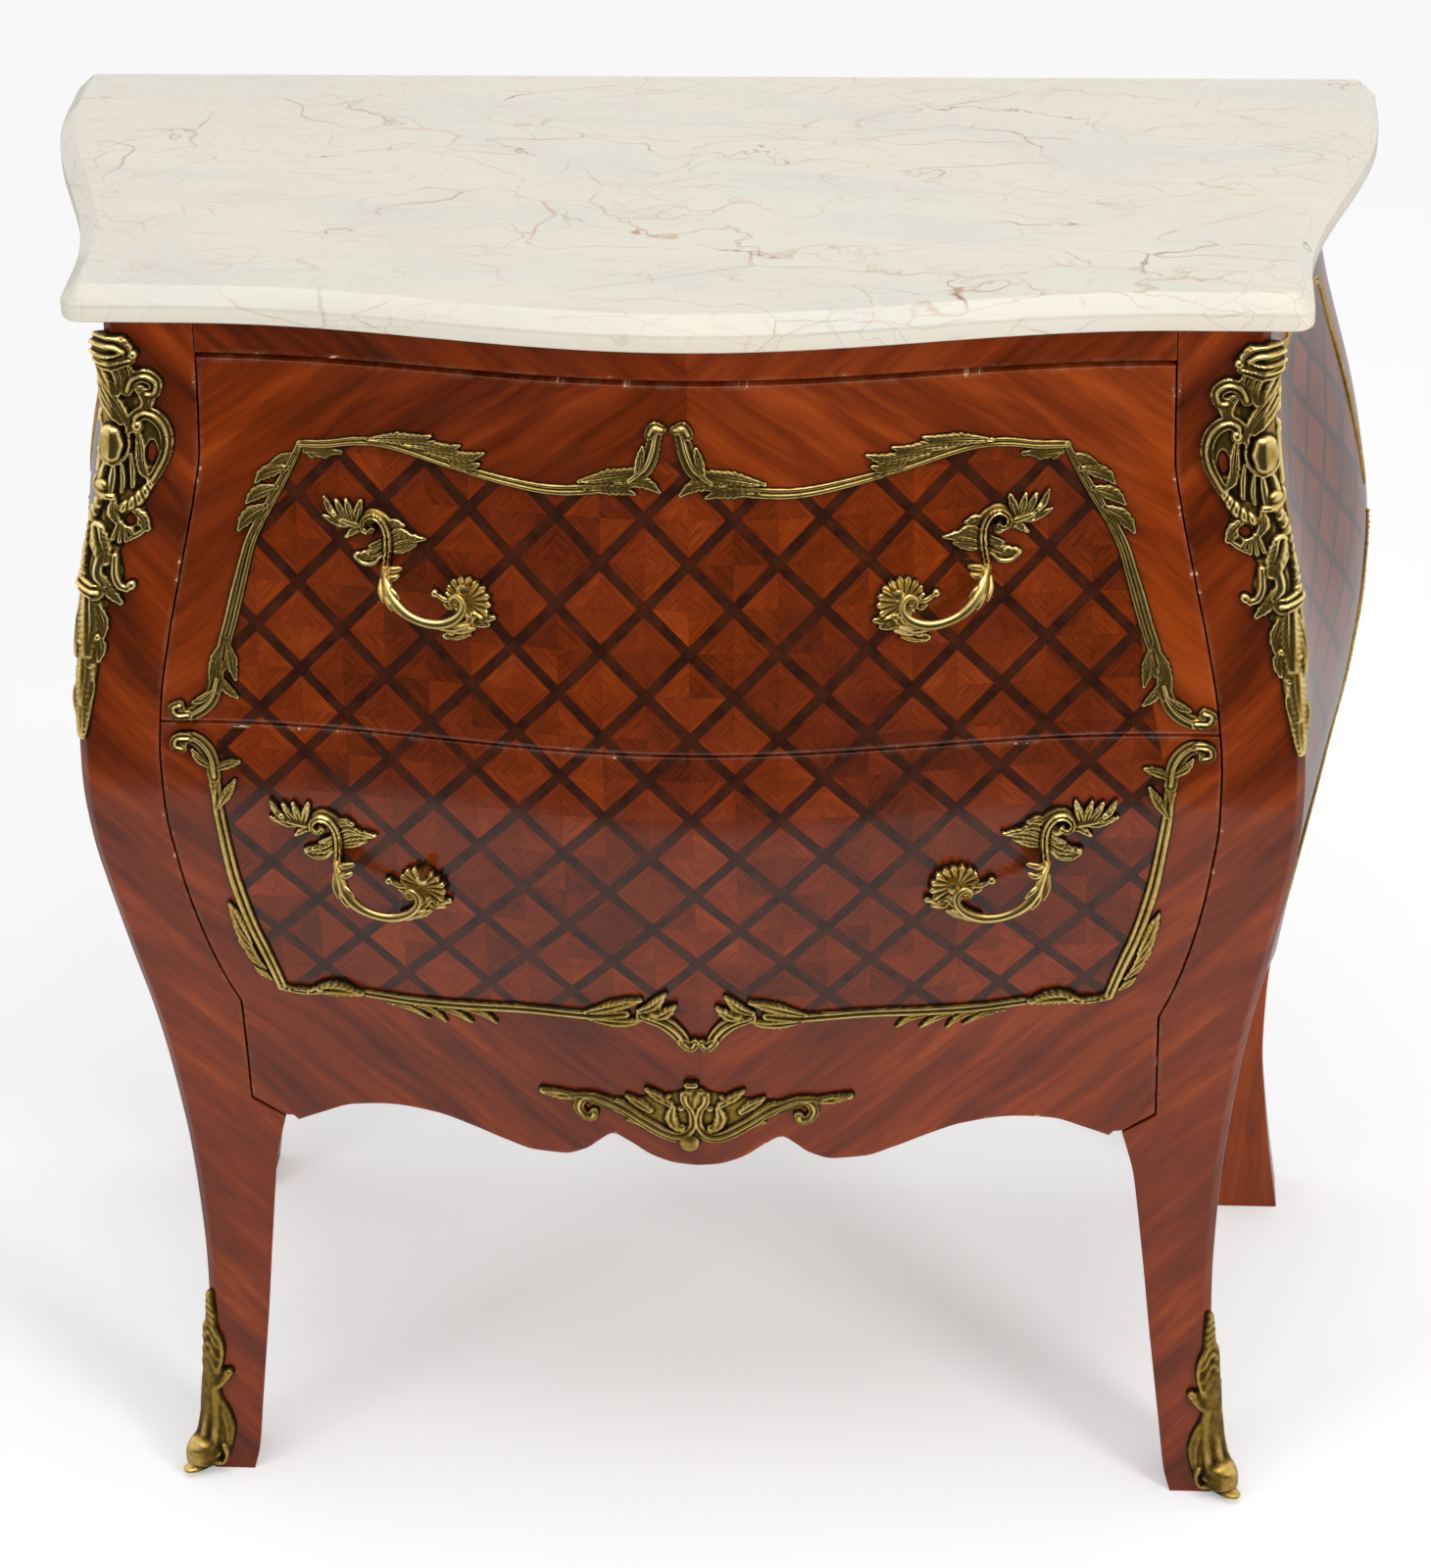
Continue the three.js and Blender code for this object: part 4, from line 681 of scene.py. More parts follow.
def cutHoles(piece, places):  # holes for the handle posts and seats for their nuts
    run, back = frontSizes["holeRun"], chest["frontThickness"]
    angle = np.linspace(0, 2 * np.pi, frontSizes["holeSides"] + 1)[:-1]
    tools = []
    for px, pz in places:
        for radius, start, end in ((frontSizes["hole"], -run, run + back),
                                   (frontSizes["seat"], back - frontSizes["seatDepth"], back + run)):
            rings = [np.stack([px + radius * np.cos(angle), np.full(len(angle), float(frontY(px, pz)) + s),
                               pz + radius * np.sin(angle)], 1) for s in (start, end)]
            tools.append(loftMesh("tool", rings, None, None))
    for tool in tools:
        cut = piece.modifiers.new("cut", "BOOLEAN")
        cut.operation = "DIFFERENCE"
        cut.solver = "EXACT"
        cut.object = tool
    seen = bpy.context.evaluated_depsgraph_get()
    holed = bpy.data.meshes.new_from_object(piece.evaluated_get(seen))
    piece.modifiers.clear()
    piece.data = holed
    for tool in tools:
        bpy.data.objects.remove(tool)
    shade(holed, 40)


def dressFront(piece, lowEdge, highEdge):
    co = pointsOf(piece)
    x, z = co[:, 0], co[:, 2]
    addUv(piece, x - chest["crossingX"], frontArc(z))
    mirrored = [(-px, pz) for px, pz in latticeEdge[::-1]]
    addValue(piece, "inside", outlineDistance(x, z, latticeEdge + mirrored) * 0.001)
    across = openHalf(z)
    rim = np.minimum.reduce([across - np.abs(x), z - lowEdge(x / across), highEdge - z])
    addValue(piece, "rim", np.maximum(rim, 0) * 0.001)


handlePlaces = {  # where the two posts of a handle go through the front
    "upper": {"shell": (121.0, 640.0), "scroll": (178.0, 671.6)},
    "lower": {"shell": (152.4, 460.2), "scroll": (213.0, 488.7)},
}


def apronLine(u):
    x = np.abs(u) * chest["bendHalf"]
    scallop = chest["apronZ"] + chest["apronRise"] * apronRise(x / chest["legHalf"])
    knee = np.clip((x - chest["legHalf"]) / (chest["bendHalf"] - chest["legHalf"]), 0, 1)
    shoulder = chest["legZ"] + (chest["shoulderZ"] - chest["legZ"]) * knee + chest["seamGap"]
    return np.where(x <= chest["apronShare"] * chest["legHalf"], scallop, shoulder)


upperLow = lambda u: np.full(np.shape(u), chest["seamZ"] + chest["seamGap"] / 2)
upperHigh = chest["railZ"] - chest["topGap"]
lowerHigh = chest["seamZ"] - chest["seamGap"] / 2
for level, low, high, rows, material in (("upper", upperLow, upperHigh, 76, upperVeneer),
                                         ("lower", apronLine, lowerHigh, 104, lowerVeneer)):
    body = level + "_drawer"
    piece = frontShape(level + "DrawerFront", low, high, frontSizes["columns"], rows, material)
    cutHoles(piece, [(sign * px, pz) for sign in sides.values() for px, pz in handlePlaces[level].values()])
    dressFront(piece, low, high)
    settle(piece, body, "veneer", level + "_drawer_front")
print("drawer fronts made")

railHalf = lambda z: np.full(np.shape(z), chest["openHalf"] + chest["sideGap"] - chest["railGap"])
rail = frontShape("frontRail", lambda u: np.full(np.shape(u), chest["railZ"]), woodTop, 121, 5, railVeneer,
                  railHalf)
x, y, z = pointsOf(rail).T
addUv(rail, x - chest["crossingX"], frontArc(z) + y * 0.3)
addValue(rail, "rim", np.maximum(z - chest["railZ"], 0) * 0.001)
settle(rail, "carcass", "veneer", "front_rail")


def filleted(corners, radii, steps=4):  # a closed outline with its corners rounded
    out = []
    count = len(corners)
    for k in range(count):
        p0, p1, p2 = (np.array(corners[(k + d) % count], float) for d in (-1, 0, 1))
        r = radii[k]
        if r <= 0:
            out.append(p1)
            continue
        a, b = p0 - p1, p2 - p1
        la, lb = np.linalg.norm(a), np.linalg.norm(b)
        r = min(r, la * 0.45, lb * 0.45)
        start, end = p1 + a / la * r, p1 + b / lb * r
        for t in np.linspace(0, 1, steps + 1):
            out.append((1 - t) ** 2 * start + 2 * t * (1 - t) * p1 + t * t * end)
    return out


# Stiles with their legs, from the floor to the marble.
def frontStileOutline(z):
    inner, outer, front, rear = (float(line(z)) for line in (stileInner, cornerX, cornerY, stileBack))
    knee = (chest["shoulderZ"] - z) / (chest["shoulderZ"] - chest["sideEndZ"])
    slant = float(chest["slantShare"] * stileDepth(z) * ramp(knee))
    c = chest["chamfer"]
    return filleted([(inner, front), (outer - c, front), (outer, front + c), (float(sideX(rear, z)), rear),
                     (inner + slant, rear)], [0.7, 1.2, 1.2, 0.8, 0.8])


def rearStileOutline(z):
    outer, front, rear = float(rearX(z)), chest["rearStileY"], chest["backY"]
    more = chest["rearStileWidth"] - chest["rearFootWidth"]
    inner = outer - (chest["rearFootWidth"] + more * float(ramp(z / chest["legZ"])))
    return filleted([(inner, front), (outer, front), (outer, rear), (inner, rear)], [1, 1.5, 1.5, 1])


def stileMesh(name, places, outlineAt, sign, material):
    rings = [[(sign * x, y, z) for x, y in outlineAt(z)] for z in places]
    piece = loftMesh(name, rings, material)
    x, y, z = pointsOf(piece).T
    return piece, np.abs(x), y, z


frontPlaces = np.unique(np.concatenate([
    np.linspace(0, 250, 84), np.linspace(250, 275, 16), np.linspace(275, woodTop, 150),
    [chest["legZ"], chest["shoulderZ"], chest["sideEndZ"]]]))
rearPlaces = np.unique(np.concatenate([np.linspace(0, 270, 60), np.linspace(270, woodTop, 110)]))
for side, sign in sides.items():
    stile, x, y, z = stileMesh(side + "FrontStile", frontPlaces, frontStileOutline, sign, stileVeneer)
    addUv(stile, x + (y - cornerY(z)), frontArc(z))
    addValue(stile, "rim", np.where(z > chest["shoulderZ"], x - stileInner(z), 9) * 0.001)
    settle(stile, "carcass", "veneer", side + "_front_stile")
    rearStile, x, y, z = stileMesh(side + "RearStile", rearPlaces, rearStileOutline, sign, rearVeneer)
    addUv(rearStile, x + y, sideArc(z))
    addValue(rearStile, "rim", np.full(len(z), 0.01))
    settle(rearStile, "carcass", "veneer", side + "_rear_stile")
print("stiles made")

# Side panels: the lattice again, inside its own frame of brass.
sideFrames = {
    "rear": {"upper": [(.53, .935), (.6, .912), (.72, .915), (.83, .9), (.9, .85), (.915, .78), (.94, .715)],
             "lower": [(.94, .69), (.915, .62), (.9, .52), (.84, .43), (.74, .375), (.64, .36), (.53, .335)]},
    "front": {"upper": [(.47, .935), (.4, .912), (.3, .915), (.2, .9), (.14, .85), (.13, .78), (.1, .715)],
              "lower": [(.1, .69), (.13, .62), (.14, .52), (.18, .43), (.26, .375), (.36, .36), (.47, .335)]},
}


def sideSpot(share, up):  # a place on the side from its shares of depth and height
    z = up * height
    start = float(stileBack(z))
    return start + (chest["rearStileY"] - start) * share, z


rearFrame, frontFrame = sideFrames["rear"], sideFrames["front"]
sideOutline = [sideSpot(*s) for s in rearFrame["upper"][1:] + rearFrame["lower"][:-1]
               + frontFrame["lower"][::-1][1:] + frontFrame["upper"][::-1][:-1]]
for side, sign in sides.items():
    uu, vv = np.meshgrid(np.linspace(0, 1, 72), np.linspace(0, 1, 150))
    low = chest["sideEndZ"] + (chest["sideArchZ"] - chest["sideEndZ"]) * np.sin(np.pi * uu)
    z = low + (woodTop - low) * vv
    start = stileBack(z) + chest["panelFrontGap"]
    y = start + (chest["rearStileY"] - chest["panelRearGap"] - start) * uu
    near = np.stack([sign * sideX(y, z), y, z], 2)
    far = np.stack([sign * (sideX(y, z) - chest["panel"]), y, z], 2)
    points, faces = slabMesh(near, far)
    panel = makeMesh(side + "SidePanel", points, faceOut(points, faces), sideVeneer)
    x, y, z = pointsOf(panel).T
    addUv(panel, y - chest["crossingY"], sideArc(z))
    addValue(panel, "inside", outlineDistance(y, z, sideOutline) * 0.001)
    addValue(panel, "rim", np.full(len(z), 0.01))
    settle(panel, "carcass", "veneer", side + "_side_panel")
print("side panels made")


# Marble top: a serpentine slab with a moulded edge.
def marbleShape():
    sizes = {"thickness": 20.0, "corner": 352.0, "rear": 400.0, "cornerY": 14.5, "bow": 35.5,
             "bowHalf": 280.0, "flatFrom": 290.0, "backY": 346.0, "runFrom": 40.0, "start": 65.0,
             "end": 305.0, "runTo": 325.0, "radius": 12.0, "chamfer": 1.5,
             "foot": [(0, 2.2), (0.3, 1.2), (1.0, 0.4), (2.2, 0.0)],  # height over the base, inset
             "edge": [(9.6, 0.0), (9.0, 0.15), (8.5, 0.6), (1.2, 8.6), (0.5, 9.5), (0.1, 10.3), (0, 11.2)]}
    corner, rear, radius, chamfer = sizes["corner"], sizes["rear"], sizes["radius"], sizes["chamfer"]
    front, back, bowHalf, start, end = (sizes[k] for k in ("cornerY", "backY", "bowHalf", "start", "end"))
    half = [(x, front - sizes["bow"] * math.cos(math.pi * x / (2 * bowHalf)) ** 2)
            for x in np.linspace(0, bowHalf, 61)]
    half += [(x, front) for x in np.linspace(sizes["flatFrom"], corner - radius, 5)]
    half += [(corner - radius + radius * math.sin(angle), front + radius * (1 - math.cos(angle)))
             for angle in np.linspace(0, math.pi / 2, 11)[1:]]
    half += [(corner, y) for y in np.linspace(sizes["runFrom"], start, 3)[:-1]]
    half += [(corner + (rear - corner) * float(ramp((y - start) / (end - start))), y)
             for y in np.linspace(start, end, 41)]
    half += [(rear, sizes["runTo"]), (rear, back - chamfer), (rear - chamfer, back)]
    outline = np.array(half + [(-x, y) for x, y in half[1:]][::-1])
    way = unit(outline - np.roll(outline, 1, 0)) + unit(np.roll(outline, -1, 0) - outline)
    inward = unit(np.stack([-way[:, 1], way[:, 0]], 1))
    flat = outline[:, 1] > back - 2
    inward[flat] = np.stack([-np.sign(outline[flat, 0]), np.zeros(flat.sum())], 1)
    top = height + sizes["thickness"]
    layers = [(height + up, inset) for up, inset in sizes["foot"]]
    layers += [(top - down, inset) for down, inset in sizes["edge"]]
    rings = [[(x, y, z) for x, y in outline + inward * inset] for z, inset in layers]
    return loftMesh("marbleTop", rings, creamMarble, 28)


settle(marbleShape(), "carcass", "marble", "marble_top")
print("marble made")


# Castings. Each is a list of strokes on a surface: kind, half width, height, share of the width at
# its start and end, and its places. The highest stroke wins, and the edge of them all is the outline.
castings = {
    "upperTop": [
        ("reed", 3.07, 2.99, .8, .8, [(218.4, 711.5), (202.3, 712.5), (186.3, 715.1), (170.3, 715.5),
            (154.4, 712.6), (138.5, 708.6), (126.6, 705.9), (116.7, 703.7)]),
        ("leaf", 3.84, 2.75, .5, .5, [(215.5, 707.8), (206.5, 707.6), (197.5, 708.3)]),
        ("round", 2.47, 2.28, .8, .8, [(212.5, 705.7), (211, 705)]),
        ("round", 2.47, 2.28, .8, .8, [(204.9, 705.8), (203.4, 705.3)]),
        ("round", 2.21, 2.04, .8, .8, [(196.9, 708.3), (194.9, 708.1)]),
        ("leaf", 4.1, 3.88, .35, .3, [(178.2, 717.1), (162.2, 718.9), (151.2, 719.5), (141.7, 721.9)]),
        ("leaf", 4.22, 4, .35, .3, [(158.2, 716.5), (144.3, 716.6), (134.4, 715.5), (125.3, 717.9)]),
        ("leaf", 4.22, 4, .35, .3, [(144.4, 713.5), (132.4, 712.6), (121.5, 711.7), (111.5, 714.9)]),
        ("leaf", 3.33, 3.75, .4, .4, [(130.5, 708.6), (122.6, 706.2), (114.2, 708.5)]),
        ("reed", 3.29, 2.99, .8, 1.1, [(118.7, 703.9), (99, 700.4), (81.2, 698), (67.5, 697.6),
            (51.8, 699.1), (40.1, 701.4), (28.4, 704.6)]),
        ("leaf", 4.61, 3.62, .3, .35, [(57.6, 703.2), (42, 706.7), (30.3, 708.7), (19.7, 711.3)]),
        ("leaf", 4.1, 3.5, .3, .35, [(53.8, 699.2), (40.1, 699.9), (32.4, 699.5), (26.2, 697.6)]),
        ("leaf", 4.35, 4, .4, .35, [(36.2, 704.3), (24.6, 704.7), (17.8, 703), (12.4, 699.3)]),
        ("flute", 5.1, 4.4, .9, .85, [(29, 704.9), (20.1, 712.8), (16.3, 721.6), (14.8, 728.5), (13.6, 733)]),
        ("leaf", 3.4, 4.6, .5, .4, [(25, 708), (23, 716), (21.5, 724)]),
        ("flute", 3.8, 5.4, .9, .8, [(17.5, 731.5), (15, 735.4), (10.5, 734.5)]),
        ("ball", 4.2, 4.6, 1, 1, [(13.4, 734.6)]),
    ],
    "upperSide": [
        ("reed", 3.18, 2.99, .7, 1, [(218.2, 711.5), (224.3, 699), (231.5, 686.3), (238.3, 674.6),
            (245.2, 663)]),
        ("reed", 4.45, 3.1, .75, 1, [(242.4, 667.8), (248.5, 655.3), (253.1, 639.8), (257.4, 624.1),
            (261.1, 610.2), (265.3, 595.9), (267.2, 583.6)]),
        ("leaf", 3.58, 3.25, .4, .5, [(221.5, 705.9), (229.6, 702), (235.1, 699)]),
        ("leaf", 4.61, 3.75, .35, .3, [(225.2, 698), (234.4, 696), (240.5, 693), (244.2, 688.7)]),
        ("leaf", 4.61, 3.75, .35, .3, [(232, 687), (241.1, 683.9), (246.1, 680.9), (249.8, 677)]),
        ("leaf", 4.86, 3.75, .35, .3, [(238.3, 676.2), (247, 671.4), (251.5, 666.9), (254.8, 661.7)]),
        ("leaf", 3.84, 3.62, .3, .35, [(264.5, 600), (270, 588.7), (272.4, 581.4), (274.2, 573.4)]),
        ("leaf", 3.84, 3.62, .3, .35, [(263.2, 598), (261.2, 588.9), (260.7, 582.8), (259.2, 575.5)]),
        ("leaf", 3.58, 3.88, .5, .4, [(268.6, 577.3), (264.9, 570.1), (258.8, 565)]),
        ("leaf", 3.58, 3.75, .5, .5, [(267.7, 585.7), (269, 577.3), (270.3, 567.8)]),
        ("flute", 4.9, 4.4, .9, .85, [(270.2, 575.5), (273.3, 565.5), (278.7, 558.6), (286, 554),
            (292.4, 553.4)]), ("leaf", 3.2, 4.6, .5, .4, [(273, 568), (279, 563.5), (285, 561)]),
        ("flute", 3.7, 5.6, .8, .9, [(288, 553.4), (294.5, 553.4), (296.6, 557.4), (292.6, 559.4)]),
        ("ball", 3.4, 4.4, 1, 1, [(292, 557)]),
    ],
    "lowerSide": [
        ("flute", 4.9, 4.4, .9, .85, [(278.6, 518.3), (280.2, 529.6), (284.4, 537.4), (290.2, 541.9),
            (297.2, 542.2)]), ("leaf", 3.3, 4.6, .5, .4, [(279, 524), (287, 529), (291, 535)]),
        ("flute", 3.6, 5.6, .8, .9, [(293, 542.6), (299.7, 541.6), (301, 537.4), (296.8, 535.8)]),
        ("ball", 3.4, 4.4, 1, 1, [(296.4, 538.4)]),
        ("leaf", 3.71, 3.75, .4, .35, [(279.2, 522.2), (271.2, 526.1), (263.3, 528.8)]),
        ("leaf", 3.84, 3.75, .35, .4, [(277, 497.2), (271.6, 506.4), (266.6, 516.1)]),
        ("leaf", 3.33, 3.62, .4, .5, [(279.3, 504.2), (279.4, 514.6), (280.8, 522.6)]),
        ("reed", 4.35, 3.1, .8, .8, [(277.8, 514.5), (277.2, 497.2), (275, 480.7), (272.4, 463.4),
            (269.6, 447), (265.3, 428.8), (260, 410.2), (253.8, 392.9), (249.2, 379.4), (244.9, 366)]),
        ("leaf", 4.48, 3.75, .35, .3, [(261.9, 398.2), (267, 408.9), (270.2, 418.3), (273.5, 428.1)]),
        ("leaf", 3.58, 3.62, .4, .3, [(260, 391.4), (265.9, 400.8), (271.6, 412.1)]),
        ("leaf", 3.33, 3.5, .4, .3, [(257.7, 385.3), (263.7, 393.3), (269.4, 400.3)]),
        ("leaf", 3.07, 3.38, .4, .3, [(254.1, 378.8), (260.7, 385.8), (265.7, 391.4)]),
        ("leaf", 2.94, 3.25, .4, .3, [(251, 370.7), (256.2, 375.3), (260.5, 379.8)]),
    ],
    "lowerBottom": [
        ("reed", 3.39, 2.99, .8, 1, [(245.3, 365.4), (233.4, 363.1), (214.8, 364.1), (198.3, 364.4),
            (169.5, 361.8), (140.7, 361.8), (103.8, 363.7), (79.2, 363.2), (60.7, 362.8), (44.4, 365.2)]),
        ("leaf", 6.4, 5, .35, .35, [(228.5, 363.4), (219.9, 366), (210.6, 366.5), (198.3, 364.6)]),
        ("ball", 3.2, 5.2, 1, 1, [(222, 366)]),
        ("leaf", 3.33, 4, .6, .5, [(239.5, 363.9), (231.3, 363.2), (224.1, 362.7)]),
        ("leaf", 2.94, 3.12, .4, .3, [(138.6, 359), (128.3, 358), (119.5, 351.5)]),
        ("leaf", 2.94, 3.12, .4, .3, [(153, 358.3), (142.7, 355.9), (133.8, 350)]),
        ("leaf", 2.94, 3.12, .4, .3, [(167.4, 358.8), (157.1, 356), (149.1, 348.3)]),
        ("leaf", 2.69, 3, .4, .3, [(182.9, 358.4), (170.5, 356.3), (158.8, 349.8)]),
        ("leaf", 4.86, 3.75, .3, .4, [(66.9, 365.2), (54.7, 369.1), (44.6, 372.9), (34.8, 376.4)]),
        ("leaf", 4.35, 3.62, .3, .4, [(64.8, 360.4), (52.4, 358.9), (42.2, 359.3), (34, 362.8)]),
        ("leaf", 4.22, 4.12, .5, .4, [(36.2, 368.2), (28.1, 372.2), (20.6, 381)]),
        ("leaf", 3.33, 3.75, .5, .4, [(32, 364), (26, 369), (24.6, 376.6)]),
        ("flute", 5.3, 4.4, .8, .8, [(34.4, 365), (22.5, 359.7), (15.4, 352.3), (10.9, 343.3)]),
        ("leaf", 4.4, 4.8, .5, .4, [(30, 364), (22, 366.5), (15.5, 373)]),
        ("flute", 3.8, 5.4, .9, .8, [(12.5, 346), (8.4, 342.6), (5.6, 345.5)]),
        ("ball", 4.2, 4.6, 1, 1, [(27, 366)]),
    ],
    "apron": [
        ("round", 7, 1.6, 1, .5, [(4, 301), (22, 296), (44, 294), (66, 296)]),
        ("round", 9, 1.6, 1, .6, [(4, 288), (18, 288), (36, 290)]),
        ("leaf", 4.4, 3.8, .7, .7, [(72, 298.3), (82, 298.8), (92, 300.5)]),
        ("ball", 3, 4.2, 1, 1, [(91.4, 300.4)]), ("round", 2.08, 3.5, .7, .7, [(83, 299.4), (90, 300.2)]),
        ("flute", 4.3, 4.6, .7, .8, [(75.4, 298.2), (63.6, 299.7), (53.9, 297), (42.6, 291), (31.3, 282.6),
            (19.9, 275.2), (10.8, 272.4), (3.8, 275.5), (.1, 283.1), (1.4, 292.7), (5.2, 299.3),
            (5.7, 304.5)]),
        ("flute", 3.7, 4.4, .8, .9, [(60, 299.7), (67.4, 297.5), (70.4, 290.8), (67.4, 285.1), (62.6, 284.3),
            (61.2, 287.6)]), ("ball", 2.6, 3.79, 1, 1, [(61.4, 285.5)]),
        ("leaf", 4.21, 4.16, .5, .6, [(13.5, 294.7), (14.9, 287.2), (12.8, 281), (8.5, 278)]),
        ("ball", 2.99, 4.02, 1, 1, [(8.8, 279.2)]), ("ball", 2.6, 3.45, 1, 1, [(8.6, 293.9)]),
        ("leaf", 3.92, 4.16, .6, .4, [(14.9, 297), (21.3, 301.9), (29.2, 308.2)]),
        ("ball", 2.86, 3.91, 1, 1, [(19.9, 300.1)]), ("ball", 2.21, 3.45, 1, 1, [(28.5, 307.5)]),
        ("ball", 2.21, 3.45, 1, 1, [(16.2, 302.9)]),
        ("leaf", 3.92, 3.9, .6, .4, [(27.3, 291.6), (34.4, 297.3), (41, 302.2)]),
        ("leaf", 3.33, 3.64, .6, .4, [(34.2, 287.7), (41.3, 293.6), (47, 298.2)]),
        ("leaf", 2.75, 3.12, .6, .5, [(28.4, 280.1), (34.8, 281.7), (41.4, 283.6)]),
        ("leaf", 2.75, 3.12, .6, .5, [(42.6, 288.5), (46.8, 290.2), (48.9, 292.2)]),
        ("round", 3.12, 3.75, .8, .8, [(3, 307.1), (.9, 302.2), (-.7, 295.9)]),
        ("ball", 3.38, 3.79, 1, 1, [(3.4, 306.8)]),
        ("round", 2.21, 3.25, .8, .8, [(-2.1, 308.4), (-2.6, 294.1), (-3, 280.7)]),
        ("round", 4.68, 3, 1, 1, [(-2.1, 310.6), (-2.4, 302.1)]),
        ("round", 2.6, 5.25, 1, 1, [(-4.4, 312.8), (.4, 313)]), ("ball", 6.89, 5.98, 1, 1, [(-4.2, 269)]),
        ("round", 3.38, 3.25, 1, 1, [(-3.4, 279), (-3.9, 271.9)]),
    ],
    "handle": [
        ("leaf", 3.3, 5, .5, .55, [(63, 41.6), (60.7, 48.1), (58.4, 54.5)]),
        ("leaf", 2.9, 5.2, .5, .5, [(64.6, 42.5), (65.6, 48.8), (67.2, 55.1)]),
        ("leaf", 2.9, 5.2, .5, .5, [(67.3, 43.4), (70.5, 49.1), (73.2, 54.8)]),
        ("leaf", 2.8, 5.2, .5, .3, [(70.6, 43.3), (76.6, 48.8), (80.3, 57.1)]),
        ("leaf", 2.7, 4.6, .5, .4, [(63, 40.5), (72.3, 41.6), (82.1, 46.4)]),
        ("ball", 2.5, 6.2, 1, 1, [(74.9, 47.3)]), ("ball", 1.6, 5.4, 1, 1, [(66.6, 54.1)]),
        ("ball", 1.6, 5.4, 1, 1, [(72.1, 53.8)]),
        ("round", 2.6, 5, 1, .8, [(58.6, 40.2), (64.1, 41.5), (70.6, 43.3)]),
        ("leaf", 3, 5, .6, .5, [(56.5, 37.2), (61.9, 38.4), (68.5, 34.3)]),
        ("ball", 1.7, 5.2, 1, 1, [(66.9, 35.5)]),
        ("round", 3.2, 4.2, .7, .7, [(59.1, 42.8), (53, 48), (45.4, 45.8), (40, 40.9)]),
        ("reed", 2.2, 7.6, .9, 1.15, [(51.5, 39.1), (54.3, 37.3), (57.5, 39.2), (56.9, 43.5), (52.5, 46.2),
            (47.6, 44.6), (44.4, 39.5), (43.4, 33.2), (44, 26.2), (45.2, 19.2), (45.8, 11.7)]),
        ("ball", 2.2, 5.4, 1, 1, [(52.6, 40.1)]),
        ("leaf", 3.3, 4.6, .5, .4, [(44.4, 37.9), (40, 42.5), (33.4, 41.3)]),
        ("leaf", 3.4, 4.9, .5, .4, [(43.9, 33.7), (36.8, 37.4), (29.7, 36.2)]),
        ("leaf", 3.6, 5, .5, .3, [(43.9, 30), (34.1, 33.8), (20.9, 34.2)]),
        ("leaf", 3.2, 4.6, .5, .4, [(44.5, 27.8), (38, 27.7), (27, 30.6)]),
        ("leaf", 2.7, 4.8, .5, .5, [(45.5, 35.2), (48.3, 31.3), (54.9, 29.3)]),
        ("leaf", 4.6, 5, .5, .7, [(45.6, 28.8), (51.1, 25.2), (57.7, 23.8), (62.7, 23.5)]),
        ("round", 1.7, 5.4, .6, .9, [(46.8, 24.4), (52.3, 19.8), (58.9, 19.4), (63.2, 22.4)]),
        ("ball", 1.6, 5.6, 1, 1, [(62.6, 24.5)]), ("ball", 1.4, 5.2, 1, 1, [(55, 25)]),
        ("ball", 1.4, 5.2, 1, 1, [(58.8, 25.3)]), ("shell", 16, 7, 9, 0, [(-.6, -.8)]),
        ("leaf", 3.4, 5, .6, .6, [(-4.4, -8.7), (-10.5, -9.4), (-16.5, -9)]),
        ("leaf", 3, 4.6, .6, .6, [(-3.3, -11), (-8.2, -12.8), (-13.2, -13)]),
        ("round", 2.2, 4.6, 1, .8, [(6.5, .3), (11.9, .5), (16.3, 3.4)]),
        ("ball", 2.9, 5.8, 1, 1, [(17.4, 3.9)]),
        ("leaf", 2.6, 4.4, .6, .6, [(5.4, -1.2), (8.7, -3.6), (12, -2.2)]),
        ("leaf", 4.2, 5.2, .7, .5, [(-4.4, -12), (2.2, -18), (13.2, -20.5)]),
        ("round", 1.6, 5.4, .7, .7, [(-2.2, -19.4), (5.5, -21.6), (12.1, -22.1)]),
        ("leaf", 3, 6.4, .7, .6, [(-5.5, -7.5), (0, -13.4), (8.8, -18.5)]),
    ],
}
relief = {
    "cell": 0.52, "step": 0.7, "lip": 1.0, "sunk": -0.4, "veins": 3.4, "lobe": 4.4, "lobeDepth": 0.045,
    "rope": 5.0,
    # hollow, contrast and middle set the reach, strength and mid level of the painted shade and painted
    # highlight
    "hollow": 1.8, "contrast": 0.88, "middle": 0.56, "roundOver": 0.55, "groove": 0.16,
    "reeds": ((0.42, 0.58, 1.0), (-0.52, 0.48, 0.88)),  # middle, half width and height of the two
    "shell": ([-3.1416, -2.6, -2.2, -0.9, 0.1, 0.45, 1.0, 1.7, 2.6, 3.1416],  # its outline by angle
              [1, .92, .62, .5, .55, .86, .95, 1, 1.02, 1]),
}


def gridCurve(places, step=relief["step"]):  # a smooth line through the places, as evenly spaced samples
    p = np.asarray(places, float)
    if len(p) == 1:
        return p, np.zeros(1)
    p = np.vstack([2 * p[0] - p[1], p, 2 * p[-1] - p[-2]])
    out = []
    for a, b, c, d in zip(p, p[1:], p[2:], p[3:]):
        count = max(2, int(np.linalg.norm(c - b) / step))
        t = (np.arange(count) / count)[:, None]
        bend, swing = 2 * a - 5 * b + 4 * c - d, 3 * b - a - 3 * c + d
        out.append(0.5 * (2 * b + (c - a) * t + bend * t * t + swing * t ** 3))
    line = np.vstack(out + [p[-2:-1]])
    return line, np.concatenate([[0], np.cumsum(np.linalg.norm(np.diff(line, axis=0), axis=1))])


